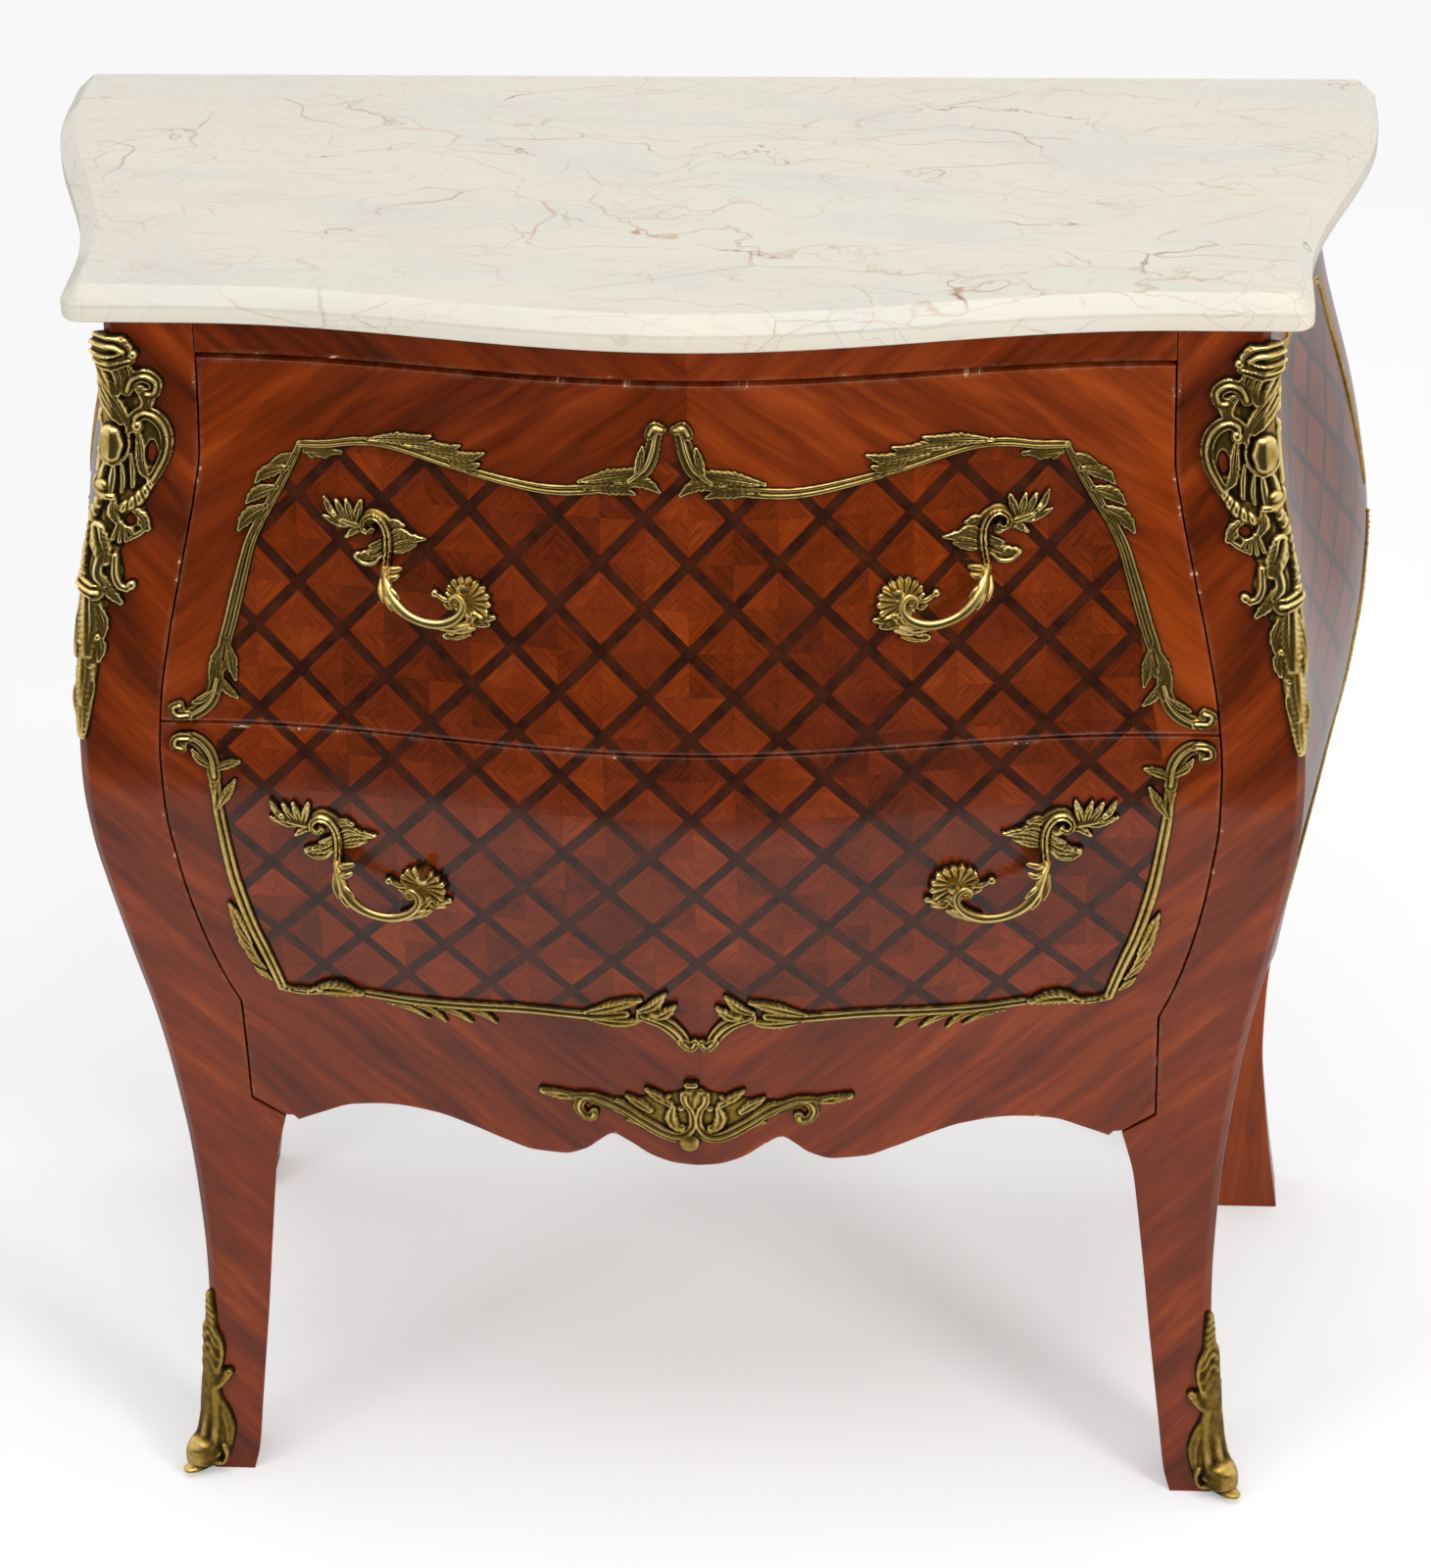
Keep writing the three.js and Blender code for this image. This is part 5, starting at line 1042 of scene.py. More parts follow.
def strokeHeight(kind, s, along, length, height):  # height over the surface, s half widths from the middle
    dome = np.sqrt(np.clip(1 - s * s, 0, 1))
    side = np.abs(s)
    share = np.clip(along / max(length, 1e-6), 0, 1)
    if kind == "reed":
        pair = [np.sqrt(np.clip(1 - ((s - middle) / half) ** 2, 0, 1)) * tall
                for middle, half, tall in relief["reeds"]]
        return height * (0.2 + 0.8 * np.maximum(*pair))
    if kind == "leaf":
        veins = np.cos((along - side * relief["veins"] * 1.4) / relief["veins"] * 2 * np.pi)
        groove = np.exp(-(s / relief["groove"]) ** 2)
        return height * (0.45 + 0.55 * dome) * (0.93 + 0.07 * veins * side - 0.4 * groove * (1 - share))
    if kind in ("flute", "swell"):
        share, ridges = (share, 4.2) if kind == "swell" else (1, 2.3)
        ridged = 0.84 + 0.16 * np.cos(s * ridges * np.pi)
        return height * (0.35 + 0.65 * share) * (0.4 + 0.6 * dome) * ridged
    if kind == "rope":
        twist = np.abs(np.sin((along / relief["rope"] + s * 0.3) * np.pi))
        return height * (0.35 + 0.65 * dome) * (0.74 + 0.26 * twist)
    return height * (0.3 + 0.7 * dome)


def softened(grid, reach):  # a height grid blurred over a reach in millimetres
    kernel = np.exp(-0.5 * (np.arange(-4, 5) * relief["cell"] / reach) ** 2)
    kernel /= kernel.sum()
    for axis in (0, 1):
        grid = np.apply_along_axis(lambda q: np.convolve(q, kernel, mode="same"), axis, grid)
    return grid


def shellStroke(a, b, centre, width, height, count):  # ribs fanned about a centre
    dx, dz = a - centre[0], b - centre[1]
    angle, away = np.arctan2(dz, dx), np.hypot(dx, dz)
    ribs = np.abs(np.cos(angle * count))
    edge = width * np.interp(angle, *relief["shell"]) * (0.88 + 0.12 * ribs)
    r = np.clip(away / edge, 0, 1)
    tall = height * (0.42 + 0.5 * r ** 1.5) * (0.72 + 0.28 * ribs) * np.clip((1.12 - r) * 6, 0.3, 1)
    return edge - away, tall


def lineStroke(a, b, places, kind, width, height, first, last):
    line, run = gridCurve(places)
    flat = np.stack([a.ravel(), b.ravel()], 1)
    near = np.empty(len(flat), int)
    for start in range(0, len(flat), 4000):
        part = flat[start:start + 4000, None]
        gap = (part[..., 0] - line[:, 0]) ** 2 + (part[..., 1] - line[:, 1]) ** 2
        near[start:start + 4000] = gap.argmin(1)
    offset = flat - line[near]
    if len(line) == 1:
        along, distance, wide = np.zeros(len(flat)), np.hypot(*offset.T), np.full(len(flat), width)
        s = distance / wide
    else:
        t = unit(np.gradient(line, axis=0))[near]
        along = (offset * t).sum(1)
        across = t[:, 0] * offset[:, 1] - t[:, 1] * offset[:, 0]
        beyond = ((near == 0) & (along < 0)) | ((near == len(line) - 1) & (along > 0))
        distance = np.where(beyond, np.hypot(along, across), np.abs(across))
        share = (run[near] + np.where(beyond, 0, along)) / max(run[-1], 1e-6)
        if kind == "leaf":
            lobes = 1 + relief["lobeDepth"] * np.cos((run[near] + along) / relief["lobe"] * 2 * np.pi)
            wide = width * np.interp(share, [0, 0.45, 0.75, 1], [first, 1, 0.85, last]) * lobes
        else:
            wide = width * np.interp(share, [0, 0.5, 1], [first, 1, last])
        s = np.clip(distance / wide, 0, 1.2) * np.where(across < 0, -1, 1)
    tall = strokeHeight(kind, s, run[near] + along, run[-1], height)
    return (wide - distance).reshape(a.shape), tall.reshape(a.shape)


def reliefMesh(strokes, holes, place, sign, melt=0.3):  # melt runs the strokes together
    cell, lip, hollow = relief["cell"], relief["lip"], relief["hollow"]
    spread = np.array([q for stroke in strokes for q in stroke[5]])
    reach = max(stroke[1] for stroke in strokes) + 2 * cell
    low, high = spread.min(0) - reach, spread.max(0) + reach
    counts = ((high - low) / cell).astype(int) + 2
    field = np.full(counts[::-1], -9.0)
    rise = np.full(counts[::-1], lip)
    for kind, width, height, first, last, places in strokes:
        line, pad = gridCurve(places)[0], width + 2 * cell
        begin = np.clip((line.min(0) - pad - low) / cell, 0, counts - 1).astype(int)
        end = np.clip((line.max(0) + pad - low) / cell, 0, counts - 1).astype(int) + 2
        a, b = np.meshgrid(*(low[k] + cell * np.arange(begin[k], min(end[k], counts[k])) for k in (0, 1)))
        if kind == "shell":
            inside, tall = shellStroke(a, b, line[0], width, height, first)
        else:
            inside, tall = lineStroke(a, b, places, kind, width, height, first, last)
        window = (slice(begin[1], begin[1] + a.shape[0]), slice(begin[0], begin[0] + a.shape[1]))
        field[window] = np.maximum(field[window], inside)
        rise[window] = np.where(inside > 0, np.maximum(rise[window], tall), rise[window])
    a, b = np.meshgrid(*(low[k] + cell * np.arange(counts[k]) for k in (0, 1)))
    for ha, hb, ra, rb in holes:
        away = np.hypot((a - ha) / ra, (b - hb) / rb)
        field = np.minimum(field, (away - 1) * min(ra, rb))
        rise = np.where(away < 1.5, lip + (rise - lip) * np.clip((away - 1) * 2, 0, 1), rise)
    edge = np.sqrt(np.clip(field / relief["roundOver"], 0, 1))
    rise = lip * 0.6 + (softened(rise, melt) - lip * 0.6) * edge
    solid = np.where(field > 0, rise, 0)
    # The tone is painted shade in the hollows and painted highlight on the ridges: each point's height
    # against the blurred height around it.
    around = softened(solid, hollow) / np.maximum(softened((field > 0) * 1.0, hollow), 0.01)
    tone = np.clip(relief["middle"] + (solid - around) * relief["contrast"], 0, 1)
    return cutGrid(a, b, field, rise, tone, place, sign)


def cutGrid(a, b, field, rise, tone, place, sign):  # a closed body where a grid's field is positive
    rows, count = field.shape
    inside = field > 0
    number = np.full(field.shape, -1)
    number[inside] = np.arange(inside.sum())
    spots = [np.stack([a[inside], b[inside], rise[inside], tone[inside]], 1)]
    total = int(inside.sum())
    edges = {}
    for name, dj, di in (("across", 0, 1), ("up", 1, 0)):
        f0, f1 = field[:rows - dj, :count - di], field[dj:, di:]
        cut = (f0 > 0) != (f1 > 0)
        t = np.clip(f0[cut] / (f0[cut] - f1[cut]), 0.08, 0.92)
        mix = lambda g: g[:rows - dj, :count - di][cut] * (1 - t) + g[dj:, di:][cut] * t
        inner = np.where(f0[cut] > 0, rise[:rows - dj, :count - di][cut], rise[dj:, di:][cut])
        shade = np.where(f0[cut] > 0, tone[:rows - dj, :count - di][cut], tone[dj:, di:][cut])
        # Outline points get painted shade: three quarters of the tone just inside them.
        spots.append(np.stack([mix(a), mix(b), np.minimum(inner, relief["lip"]), shade * 0.75], 1))
        index = np.full(f0.shape, -1)
        index[cut] = total + np.arange(cut.sum())
        total += int(cut.sum())
        edges[name] = index
    corner = [number[:-1, :-1], number[:-1, 1:], number[1:, 1:], number[1:, :-1]]
    edge = [edges["across"][:-1, :], edges["up"][:, 1:], edges["across"][1:, :], edges["up"][:, :-1]]
    case = sum((corner[k] >= 0).astype(int) << k for k in range(4))
    shapes = {  # for each set of corners inside, the faces by their corners c and cut edges e
        1: ["c0 e0 e3"], 2: ["c1 e1 e0"], 3: ["c0 c1 e1 e3"], 4: ["c2 e2 e1"], 5: ["c0 e0 e3", "c2 e2 e1"],
        6: ["c1 c2 e2 e0"], 7: ["c0 c1 c2 e2 e3"], 8: ["c3 e3 e2"], 9: ["c3 c0 e0 e2"],
        10: ["c1 e1 e0", "c3 e3 e2"], 11: ["c3 c0 c1 e1 e2"], 12: ["c2 c3 e3 e1"],
        13: ["c2 c3 c0 e0 e1"], 14: ["c1 c2 c3 e3 e0"], 15: ["c0 c1 c2 c3"]}
    faces, walls = [], []
    for value, loops in shapes.items():
        here = case == value
        if not here.any():
            continue
        for loop in loops:
            picked = loop.split()
            ids = np.stack([(corner if key[0] == "c" else edge)[int(key[1])][here] for key in picked], 1)
            faces.append(ids)
            for k, key in enumerate(picked):
                follow = picked[(k + 1) % len(picked)]
                if key[0] == "e" and follow[0] == "e":
                    walls.append(np.stack([ids[:, k], ids[:, (k + 1) % len(picked)]], 1))
    spots = np.concatenate(spots)
    under = spots.copy()
    under[:, 2] = relief["sunk"]
    # The sunken underside gets tone 0, so the walls carry painted shade down to where the casting meets the
    # surface.
    under[:, 3] = 0
    both = np.concatenate([spots, under])
    points = place(both[:, 0], both[:, 1], both[:, 2])
    polygons = []
    for ids in faces:
        polygons += ids.tolist()
        polygons += (ids[:, ::-1] + total).tolist()
    for pair in walls:
        polygons += np.stack([pair[:, 1], pair[:, 0], pair[:, 0] + total, pair[:, 1] + total], 1).tolist()
    if sign < 0:
        polygons = [face[::-1] for face in polygons]
    return points, polygons, both[:, 3]


def joinBodies(bodies):
    points, faces, tones, start = [], [], [], 0
    for p, f, t in bodies:
        points.append(np.asarray(p, float))
        faces += [[k + start for k in face] for face in f]
        tones.append(np.asarray(t, float))
        start += len(p)
    return np.concatenate(points), faces, np.concatenate(tones)


def brassPiece(name, bodies, body, *replaced):
    points, faces, tones = joinBodies(bodies)
    piece = makeMesh(name, points, faces, handleBrass if name.endswith("Handle") else giltBrass, 50)
    addValue(piece, "relief", tones)
    return settle(piece, body, "gilt_brass", *replaced)


def frontPlace(sign):
    def place(x, z, h):
        slopeX = frontY(x + 0.5, z) - frontY(x - 0.5, z)
        slopeZ = frontY(x, z + 0.5) - frontY(x, z - 0.5)
        length = np.sqrt(1 + slopeX ** 2 + slopeZ ** 2)
        return np.stack([sign * (x + h * slopeX / length), frontY(x, z) - h / length,
                         z + h * slopeZ / length], 1)
    return place


def cornerPlace(sign):  # a runs round the chamfered corner: below 0 on the front, above it on the side
    chamfer = chest["chamfer"]
    half, bend, floorGap = chamfer / math.sqrt(2), 7.0, 0.3

    def place(a, z, h):
        share = np.clip((a + half) / (2 * half), 0, 1) * chamfer
        x = cornerX(z) - chamfer + np.minimum(a + half, 0) + share
        y = cornerY(z) + share + np.maximum(a - half, 0)
        x = np.where(a > half, sideX(y, z), x)
        turn = ramp((a + bend) / (2 * bend)) * math.pi / 2
        slopeY = cornerY(z + 0.5) - cornerY(z - 0.5)
        slopeX = cornerX(z + 0.5) - cornerX(z - 0.5)
        c, s = np.cos(turn), np.sin(turn)
        normal = unit(np.stack([s, -c, c * slopeY - s * slopeX], 1))
        x, y, z = (np.stack([x, y, z], 1) + normal * np.asarray(h)[:, None]).T
        return np.stack([sign * x, y, np.maximum(z, floorGap)], 1)
    return place


def carrying(source, target):  # moves two places to two targets, with the turn and the scale that takes
    a, b, c, d = (complex(*q) for q in (*source, *target))
    turn = (d - c) / (b - a)

    def move(x, z):
        spot = (complex(x, z) - a) * turn + c
        return spot.real, spot.imag
    return move, abs(turn)


def fitted(strokes, source, target):
    move, scale = carrying(source, target)
    return [(kind, width * scale, height, first, last, [move(*q) for q in places])
            for kind, width, height, first, last, places in strokes]


# The front's frame mounts. The left ones hang a little lower than the right ones.
frameSpots = {
    "upperTop": ("upper_drawer", "top_mount", [(218.4, 711.5), (13.3, 736)],
                 {-1: [(217.6, 711.5), (12, 736)], 1: [(215.8, 715.6), (0.8, 735.9)]}),
    "upperSide": ("upper_drawer", "side_mount", [(218.2, 711.5), (295, 551.6)],
                  {-1: [(217.4, 711.3), (295, 551.8)], 1: [(215.4, 715.4), (298.5, 555)]}),
    "lowerSide": ("lower_drawer", "side_mount", [(300.9, 544.1), (243.3, 365.8)],
                  {-1: [(296.5, 541), (246.8, 361.2)], 1: [(300, 543.4), (243.6, 365.2)]}),
    "lowerBottom": ("lower_drawer", "bottom_mount", [(243.3, 365.8), (7.8, 342.6)],
                    {-1: [(246.8, 361), (0.6, 342.6)], 1: [(243.6, 365), (7.6, 342.6)]}),
}
frameTone = {"upper_drawer": 1.0, "lower_drawer": 0.9}
for key, (body, tail, source, targets) in frameSpots.items():
    for side, sign in sides.items():
        strokes = fitted(castings[key], source, targets[sign])
        points, faces, tones = reliefMesh(strokes, [], frontPlace(sign), sign, 0.25)
        brassPiece(side + key[0].upper() + key[1:] + "Mount", [(points, faces, tones * frameTone[body])],
                   body, body[:5] + "_" + side + "_" + tail)
print("frame mounts made")


def mirrored(strokes):
    return [(*stroke[:5], [(-x, z) for x, z in stroke[5]]) for stroke in strokes]


apron, apronTone, apronMiddle = castings["apron"], 0.83, 3.0
outer = [stroke for stroke in apron if stroke[5][0][0] > apronMiddle]
points, faces, tones = reliefMesh(apron + mirrored(outer), [], frontPlace(1), 1, 0.4)
brassPiece("apronMount", [(points, faces, tones * apronTone)], "lower_drawer", "apron_mount")
print("apron mount made")


tube = {"tone": 0.72, "toneSpread": 0.12, "tip": 0.6, "start": (0.3, 0.9, 0.2)}


def tubeBody(line, radii, count=14):  # a closed round bar along a line of points
    line, radii = np.asarray(line, float), np.asarray(radii, float)
    way = unit(np.gradient(line, axis=0))
    across = np.cross(way[0], tube["start"])
    points, tones = [], []
    for k in range(len(line)):
        across = unit(across - way[k] * np.dot(across, way[k]))
        over = np.cross(way[k], across)
        for angle in np.arange(count) * 2 * math.pi / count:
            points.append(line[k] + radii[k] * (math.cos(angle) * across + math.sin(angle) * over))
            tones.append(tube["tone"] + tube["toneSpread"] * math.cos(3 * angle))
    last = len(line) - 1
    faces = ringFaces(len(line), count)
    for k, ring, out in ((0, 0, -1), (last, last * count, 1)):
        points.append(line[k] + out * way[k] * radii[k] * tube["tip"])
        tones.append(tube["tone"])
        for i in range(count):
            pair = [ring + i, ring + (i + 1) % count]
            faces.append((pair[::-1] if out < 0 else pair) + [len(points) - 1])
    return np.array(points), faceOut(points, faces), np.array(tones)


# Handles: a low casting of leaves and a shell, and a grip that stands off it between two posts.
handle = {
    "source": [(1.7, -1.2), (52.6, 47.0)],
    "targets": {("upper", "right"): [(127.3, 633.1), (178.2, 681.3)],
                ("upper", "left"): [(124.1, 630.9), (176.2, 675.0)],
                ("lower", "right"): [(158.4, 453.8), (216.8, 500.2)],
                ("lower", "left"): [(158.8, 446.8), (214.3, 491.7)]},
    "grip": [(46.2, 17.5, 4.5), (45.8, 15.9, 7), (44.2, 13.6, 10), (42.2, 10.1, 13.5), (39.6, 5.1, 17),
             (34.8, -0.8, 19.5), (27.8, -5.8, 20.5), (19.0, -9.0, 20.5), (10.3, -9.9, 19.5),
             (2.6, -7.7, 18.5), (-2.4, -3.3, 17), (-3.0, 1.7, 15.5), (0.8, 5.2, 14.5), (4.6, 3.3, 13.5),
             (4.4, -0.6, 12.5), (1.4, -0.9, 12)],
    "radii": [2.2, 2.6, 3.2, 3.7, 3.5, 3.1, 2.7, 2.6, 2.7, 2.9, 2.8, 2.4, 2.1, 1.9, 1.7, 1.5],
    "leaves": [((45.8, 15.5, 7), (40.5, 17.2, 9.5), (34.5, 18.2, 8.5), 1.9),
               ((45, 13, 10), (39, 13.5, 14), (35, 15, 12.5), 1.8),
               ((43.5, 9, 13), (37.5, 7.2, 18.5), (33.8, 3.5, 20), 1.6),
               ((43, 8, 14), (41, 2.5, 19.5), (37.5, -2.5, 21.5), 1.5),
               ((47, 12, 9), (46.5, 6.5, 14), (44, 1, 17.5), 1.5),
               ((12, -12, 17), (4, -13, 14), (-4, -12, 9), 2.0),
               ((8, -14, 13), (1, -15.5, 9), (-6, -15, 5), 1.9)],
    "posts": [("shell", 3.4, 13.0), ("scroll", 3.4, 3.0)],  # radius and reach
    "postHole": 2.8, "postDepths": (16.5, 10.0, 3.0, 0.6),
}


def upright(level, key, reach, thick, sign):  # one post, from inside the drawer front out to the casting
    px, pz = handlePlaces[level][key]
    outside = frontPlace(sign)(*(np.full(5, q) for q in (px, pz)), np.linspace(0.4, reach, 5))
    inside = [(sign * px, float(frontY(px, pz)) + depth, pz) for depth in handle["postDepths"]]
    return tubeBody(np.concatenate([inside, outside]), [handle["postHole"]] * 4 + [thick] * 5)


for (level, side), target in handle["targets"].items():
    place = frontPlace(sides[side])
    move = carrying(handle["source"], target)[0]

    def carried(spots, step=1.2):
        return place(*gridCurve([(*move(x, z), h) for x, z, h in spots], step)[0].T)
    path = carried(handle["grip"])
    radii = np.interp(np.linspace(0, 1, len(path)), np.linspace(0, 1, len(handle["radii"])), handle["radii"])
    strokes = fitted(castings["handle"], handle["source"], target)
    bodies = [reliefMesh(strokes, [], place, sides[side]), tubeBody(path, radii, 18)]
    for *spots, thick in handle["leaves"]:
        path = carried(spots, 1.0)
        swell = np.interp(np.linspace(0, 1, len(path)), [0, 0.45, 0.8, 1], [0.9, 1.25, 1, 0.6])
        bodies.append(tubeBody(path, thick * swell, 10))
    for key, thick, reach in handle["posts"]:
        bodies.append(upright(level, key, reach, thick, sides[side]))
    brassPiece(level + side.capitalize() + "Handle", bodies, level + "_drawer",
               level + "_" + side + "_handle")
print("handles made")

# Corner mounts and shoes wrap the front corners of the stiles.
cornerCasting = [
    ("round", 8.5, 3.6, .8, .8, [(-22, 722), (-26, 710), (-24, 695)]),
    ("round", 7, 3.4, .8, .8, [(-16, 745), (-22, 740), (-20, 730)]),
    ("round", 7.5, 3.4, .9, .7, [(-16, 678), (-21, 666), (-17, 658)]),
    ("round", 6, 3.4, .9, .7, [(-10, 648), (-14, 636), (-16, 624)]),
    ("round", 9, 2.4, .7, 1, [(-1, 766), (-5, 748), (-7, 735)]),
    ("round", 14, 2.4, .8, .95, [(-10, 744), (-13, 722), (-12, 700), (-10, 686)]),
    ("round", 12, 2.2, .8, .8, [(3, 744), (3, 720), (2, 690)]),
    ("round", 13, 2.4, .9, .8, [(-9, 690), (-9, 668), (-7, 655)]),
    ("round", 9, 2.4, .9, .8, [(-5, 655), (-6, 630), (-5, 612)]),
    ("round", 7, 2.4, 1, .5, [(-4, 614), (-4, 580), (-2.5, 545)]),
    ("flute", 6.6, 9.5, .75, .8, [(9, 763.5), (3, 766.5), (-5, 767), (-11, 764)]),
    ("flute", 4.6, 10, .7, .8, [(5, 761), (-2, 761), (-9, 763)]),
    ("flute", 5, 8.2, .7, .7, [(9, 757), (1, 755.5), (-8, 757.5), (-15, 759)]),
    ("ball", 3.56, 8, 1, 1, [(-16.5, 762)]), ("leaf", 4.83, 7, .6, .5, [(-2, 768), (-9, 769), (-15, 766)]),
    ("leaf", 4.26, 6.5, .6, .5, [(4, 756), (0, 747), (-5, 738)]),
    ("leaf", 4.26, 6.5, .7, .5, [(-4, 756), (-8, 748), (-7, 738)]),
    ("leaf", 4.83, 5.8, .6, .6, [(-10, 757), (-13, 750), (-12, 741)]),
    ("leaf", 4.26, 5.6, .6, .5, [(9, 755), (9, 745), (7, 736)]),
    ("flute", 4.6, 7, .8, .8, [(-12, 740), (-15, 746.5), (-22, 749), (-28.3, 745), (-27.5, 739), (-23, 738)]),
    ("leaf", 5.4, 6, .6, .5, [(-19, 741), (-23.5, 735), (-21, 729)]),
    ("leaf", 3.83, 6.4, .5, .6, [(1, 743), (-6, 732), (-12, 721), (-12.5, 716)]),
    ("leaf", 3.55, 6, .5, .6, [(4, 738), (-2, 729), (-8, 721)]),
    ("round", 7.6, 7.6, .75, .75, [(-3.2, 714), (-3.5, 703)]),
    ("round", 1.66, 6, .8, .8, [(-12, 717), (-13, 708), (-10.5, 701), (-5, 697.5), (0, 699), (3.5, 704)]),
    ("flute", 4.3, 7.4, 1, .8, [(-17, 719), (-16.5, 724), (-21, 727), (-27, 725.5), (-32.3, 720),
        (-34.8, 712), (-34, 703), (-30.5, 694), (-27.5, 688)]), ("ball", 4.02, 7.8, 1, 1, [(-17.6, 719.6)]),
    ("leaf", 4.26, 5.6, .5, .5, [(-18, 715), (-19.5, 705), (-21.5, 695), (-26, 690)]),
    ("round", 2.3, 5, .6, .8, [(-1, 699), (1, 690), (2, 683)]),
    ("round", 2.3, 5, .6, .8, [(-5, 697), (-5, 688), (-5, 682)]),
    ("round", 2.3, 5, .6, .8, [(-9, 698), (-11, 688), (-11, 682)]),
    ("round", 2.43, 5, .6, .8, [(-14, 703), (-16, 693), (-17, 685)]), ("ball", 4.14, 6.4, 1, 1, [(0, 684)]),
    ("round", 3.07, 6, .8, .8, [(5, 686), (0, 680), (-6, 679)]),
    ("rope", 4.62, 6.6, .6, .8, [(-28, 689.5), (-25, 683), (-20, 677), (-13, 673)]),
    ("leaf", 4.54, 5.8, .6, .5, [(-21, 671), (-25, 667), (-29.6, 661.6)]),
    ("round", 2.56, 5.4, .7, .8, [(-29, 662.5), (-25, 659), (-20, 656)]),
    ("rope", 3, 6.2, .8, .7, [(0, 677), (3, 666), (4.5, 655), (5, 645)]),
    ("leaf", 3.69, 5.6, .5, .5, [(-7, 678), (-8, 670), (-12, 664)]),
    ("round", 2.05, 5.4, .6, 1, [(-12, 665), (-10, 656)]),
    ("round", 2.05, 5.4, .6, 1, [(-14, 665), (-14, 654.5)]),
    ("round", 2.05, 5.4, .6, 1, [(-16, 664), (-18, 655)]),
    ("round", 2.05, 5.4, .6, 1, [(-18, 663), (-22, 657.5)]),
    ("leaf", 6.25, 6.6, .6, .6, [(-1, 661), (-4, 652), (-8.5, 644)]),
    ("round", 2.94, 6, .9, .9, [(-13, 646), (-14.5, 636), (-18, 630), (-23, 627.8)]),
    ("ball", 3.68, 6.4, 1, 1, [(-25, 630)]), ("round", 3.2, 6, .9, 1, [(-5, 645), (-5, 636), (-9, 630)]),
    ("leaf", 4.26, 5.8, .5, .5, [(-6, 636), (-13, 626.5), (-20.5, 620)]),
    ("rope", 3.75, 6.4, .8, .8, [(5, 650), (6.5, 640), (4, 631)]),
    ("flute", 4.6, 7.6, 1, 1, [(6.5, 628.5), (0, 626.5), (-6, 625.5)]),
    ("leaf", 6.6, 6, .6, .6, [(-2, 622), (-3.5, 606), (-4, 590)]),
    ("leaf", 4.4, 5, .6, .4, [(-7, 617), (-11, 609), (-12.5, 600)]),
    ("round", 7.6, 4.4, .8, .7, [(-4, 618), (-6, 600), (-5, 584)]),
    ("round", 5.4, 4.2, 1, .6, [(-4, 586), (-4, 562), (-2.5, 542)]), ("ball", 2.6, 6, 1, 1, [(-9, 600)]),
    ("ball", 2.3, 5.8, 1, 1, [(-1, 596)]), ("ball", 2.2, 5.4, 1, 1, [(-6.5, 583)]),
    ("leaf", 4.54, 5, .6, .4, [(-8, 602), (-11, 594), (-11, 586)]),
    ("leaf", 3.55, 5, .6, .4, [(1, 618), (3, 602), (2, 586)]),
    ("leaf", 5.4, 5.4, .7, .6, [(-3, 592), (-3, 574), (-2.5, 560)]),
    ("leaf", 4.6, 5, .6, .6, [(-3, 568), (-2.5, 552), (-2, 539)]),
    ("leaf", 3.12, 4.4, .6, .4, [(-5, 580), (-7, 570), (-6.5, 560)]),
    ("leaf", 3.12, 4.2, .6, .4, [(-1, 572), (2, 563), (1.5, 553)]),
    ("round", 3.58, 6, .8, .8, [(6, 741), (11, 744), (15, 739), (13, 732), (9, 731)]),
    ("round", 3.46, 6, .9, .8, [(9, 722), (13, 718), (14.5, 708), (12, 698), (8, 690)]),
    ("ball", 3.45, 6.2, 1, 1, [(8.5, 719)]), ("leaf", 3.69, 5, .5, .5, [(6, 672), (9, 664), (8, 655)]),
    ("leaf", 3.69, 5, .5, .5, [(7, 622), (8.5, 612), (6, 602)]),
]
cornerHoles = [(-25.8, 704, 2.3, 5.6), (-18.5, 666.5, 2.8, 2.6)]
shoeHalf = [
    ("round", 2.2, 5.8, .7, .8, [(-2.5, 103), (-6.2, 93), (-6.8, 82), (-4.5, 72)]),
    ("round", 1.3, 6.3, .7, .8, [(-.4, 99), (-4.8, 90)]),
    ("round", 1.3, 6.3, .7, .8, [(-.4, 91), (-5, 81.5)]),
    ("round", 1.3, 6.3, .7, .8, [(-.4, 83), (-4.4, 74)]),
    ("round", 3.2, 6, .8, 1.1, [(-2.5, 60), (-7.4, 65), (-11, 71)]),
    ("ball", 3.7, 6.4, 1, 1, [(-11.2, 71.8)]), ("round", 4, 4.2, .9, .8, [(-4.5, 62), (-6, 73)]),
    ("round", 5.6, 4.8, .5, .8, [(-4, 54), (-9.4, 40), (-11.2, 26), (-9.5, 12)]),
    ("round", 1.9, 6.7, .6, .9, [(-3.2, 60), (-4.4, 44), (-5.4, 26)]),
    ("round", 1.6, 5.9, .5, .9, [(-7, 46), (-10.4, 34), (-11.4, 20)]),
    ("round", 1.9, 9.6, .9, .9, [(-9.4, 20), (-11.6, 14), (-9.8, 8), (-6, 7.8), (-4.6, 12), (-7, 14)]),
]
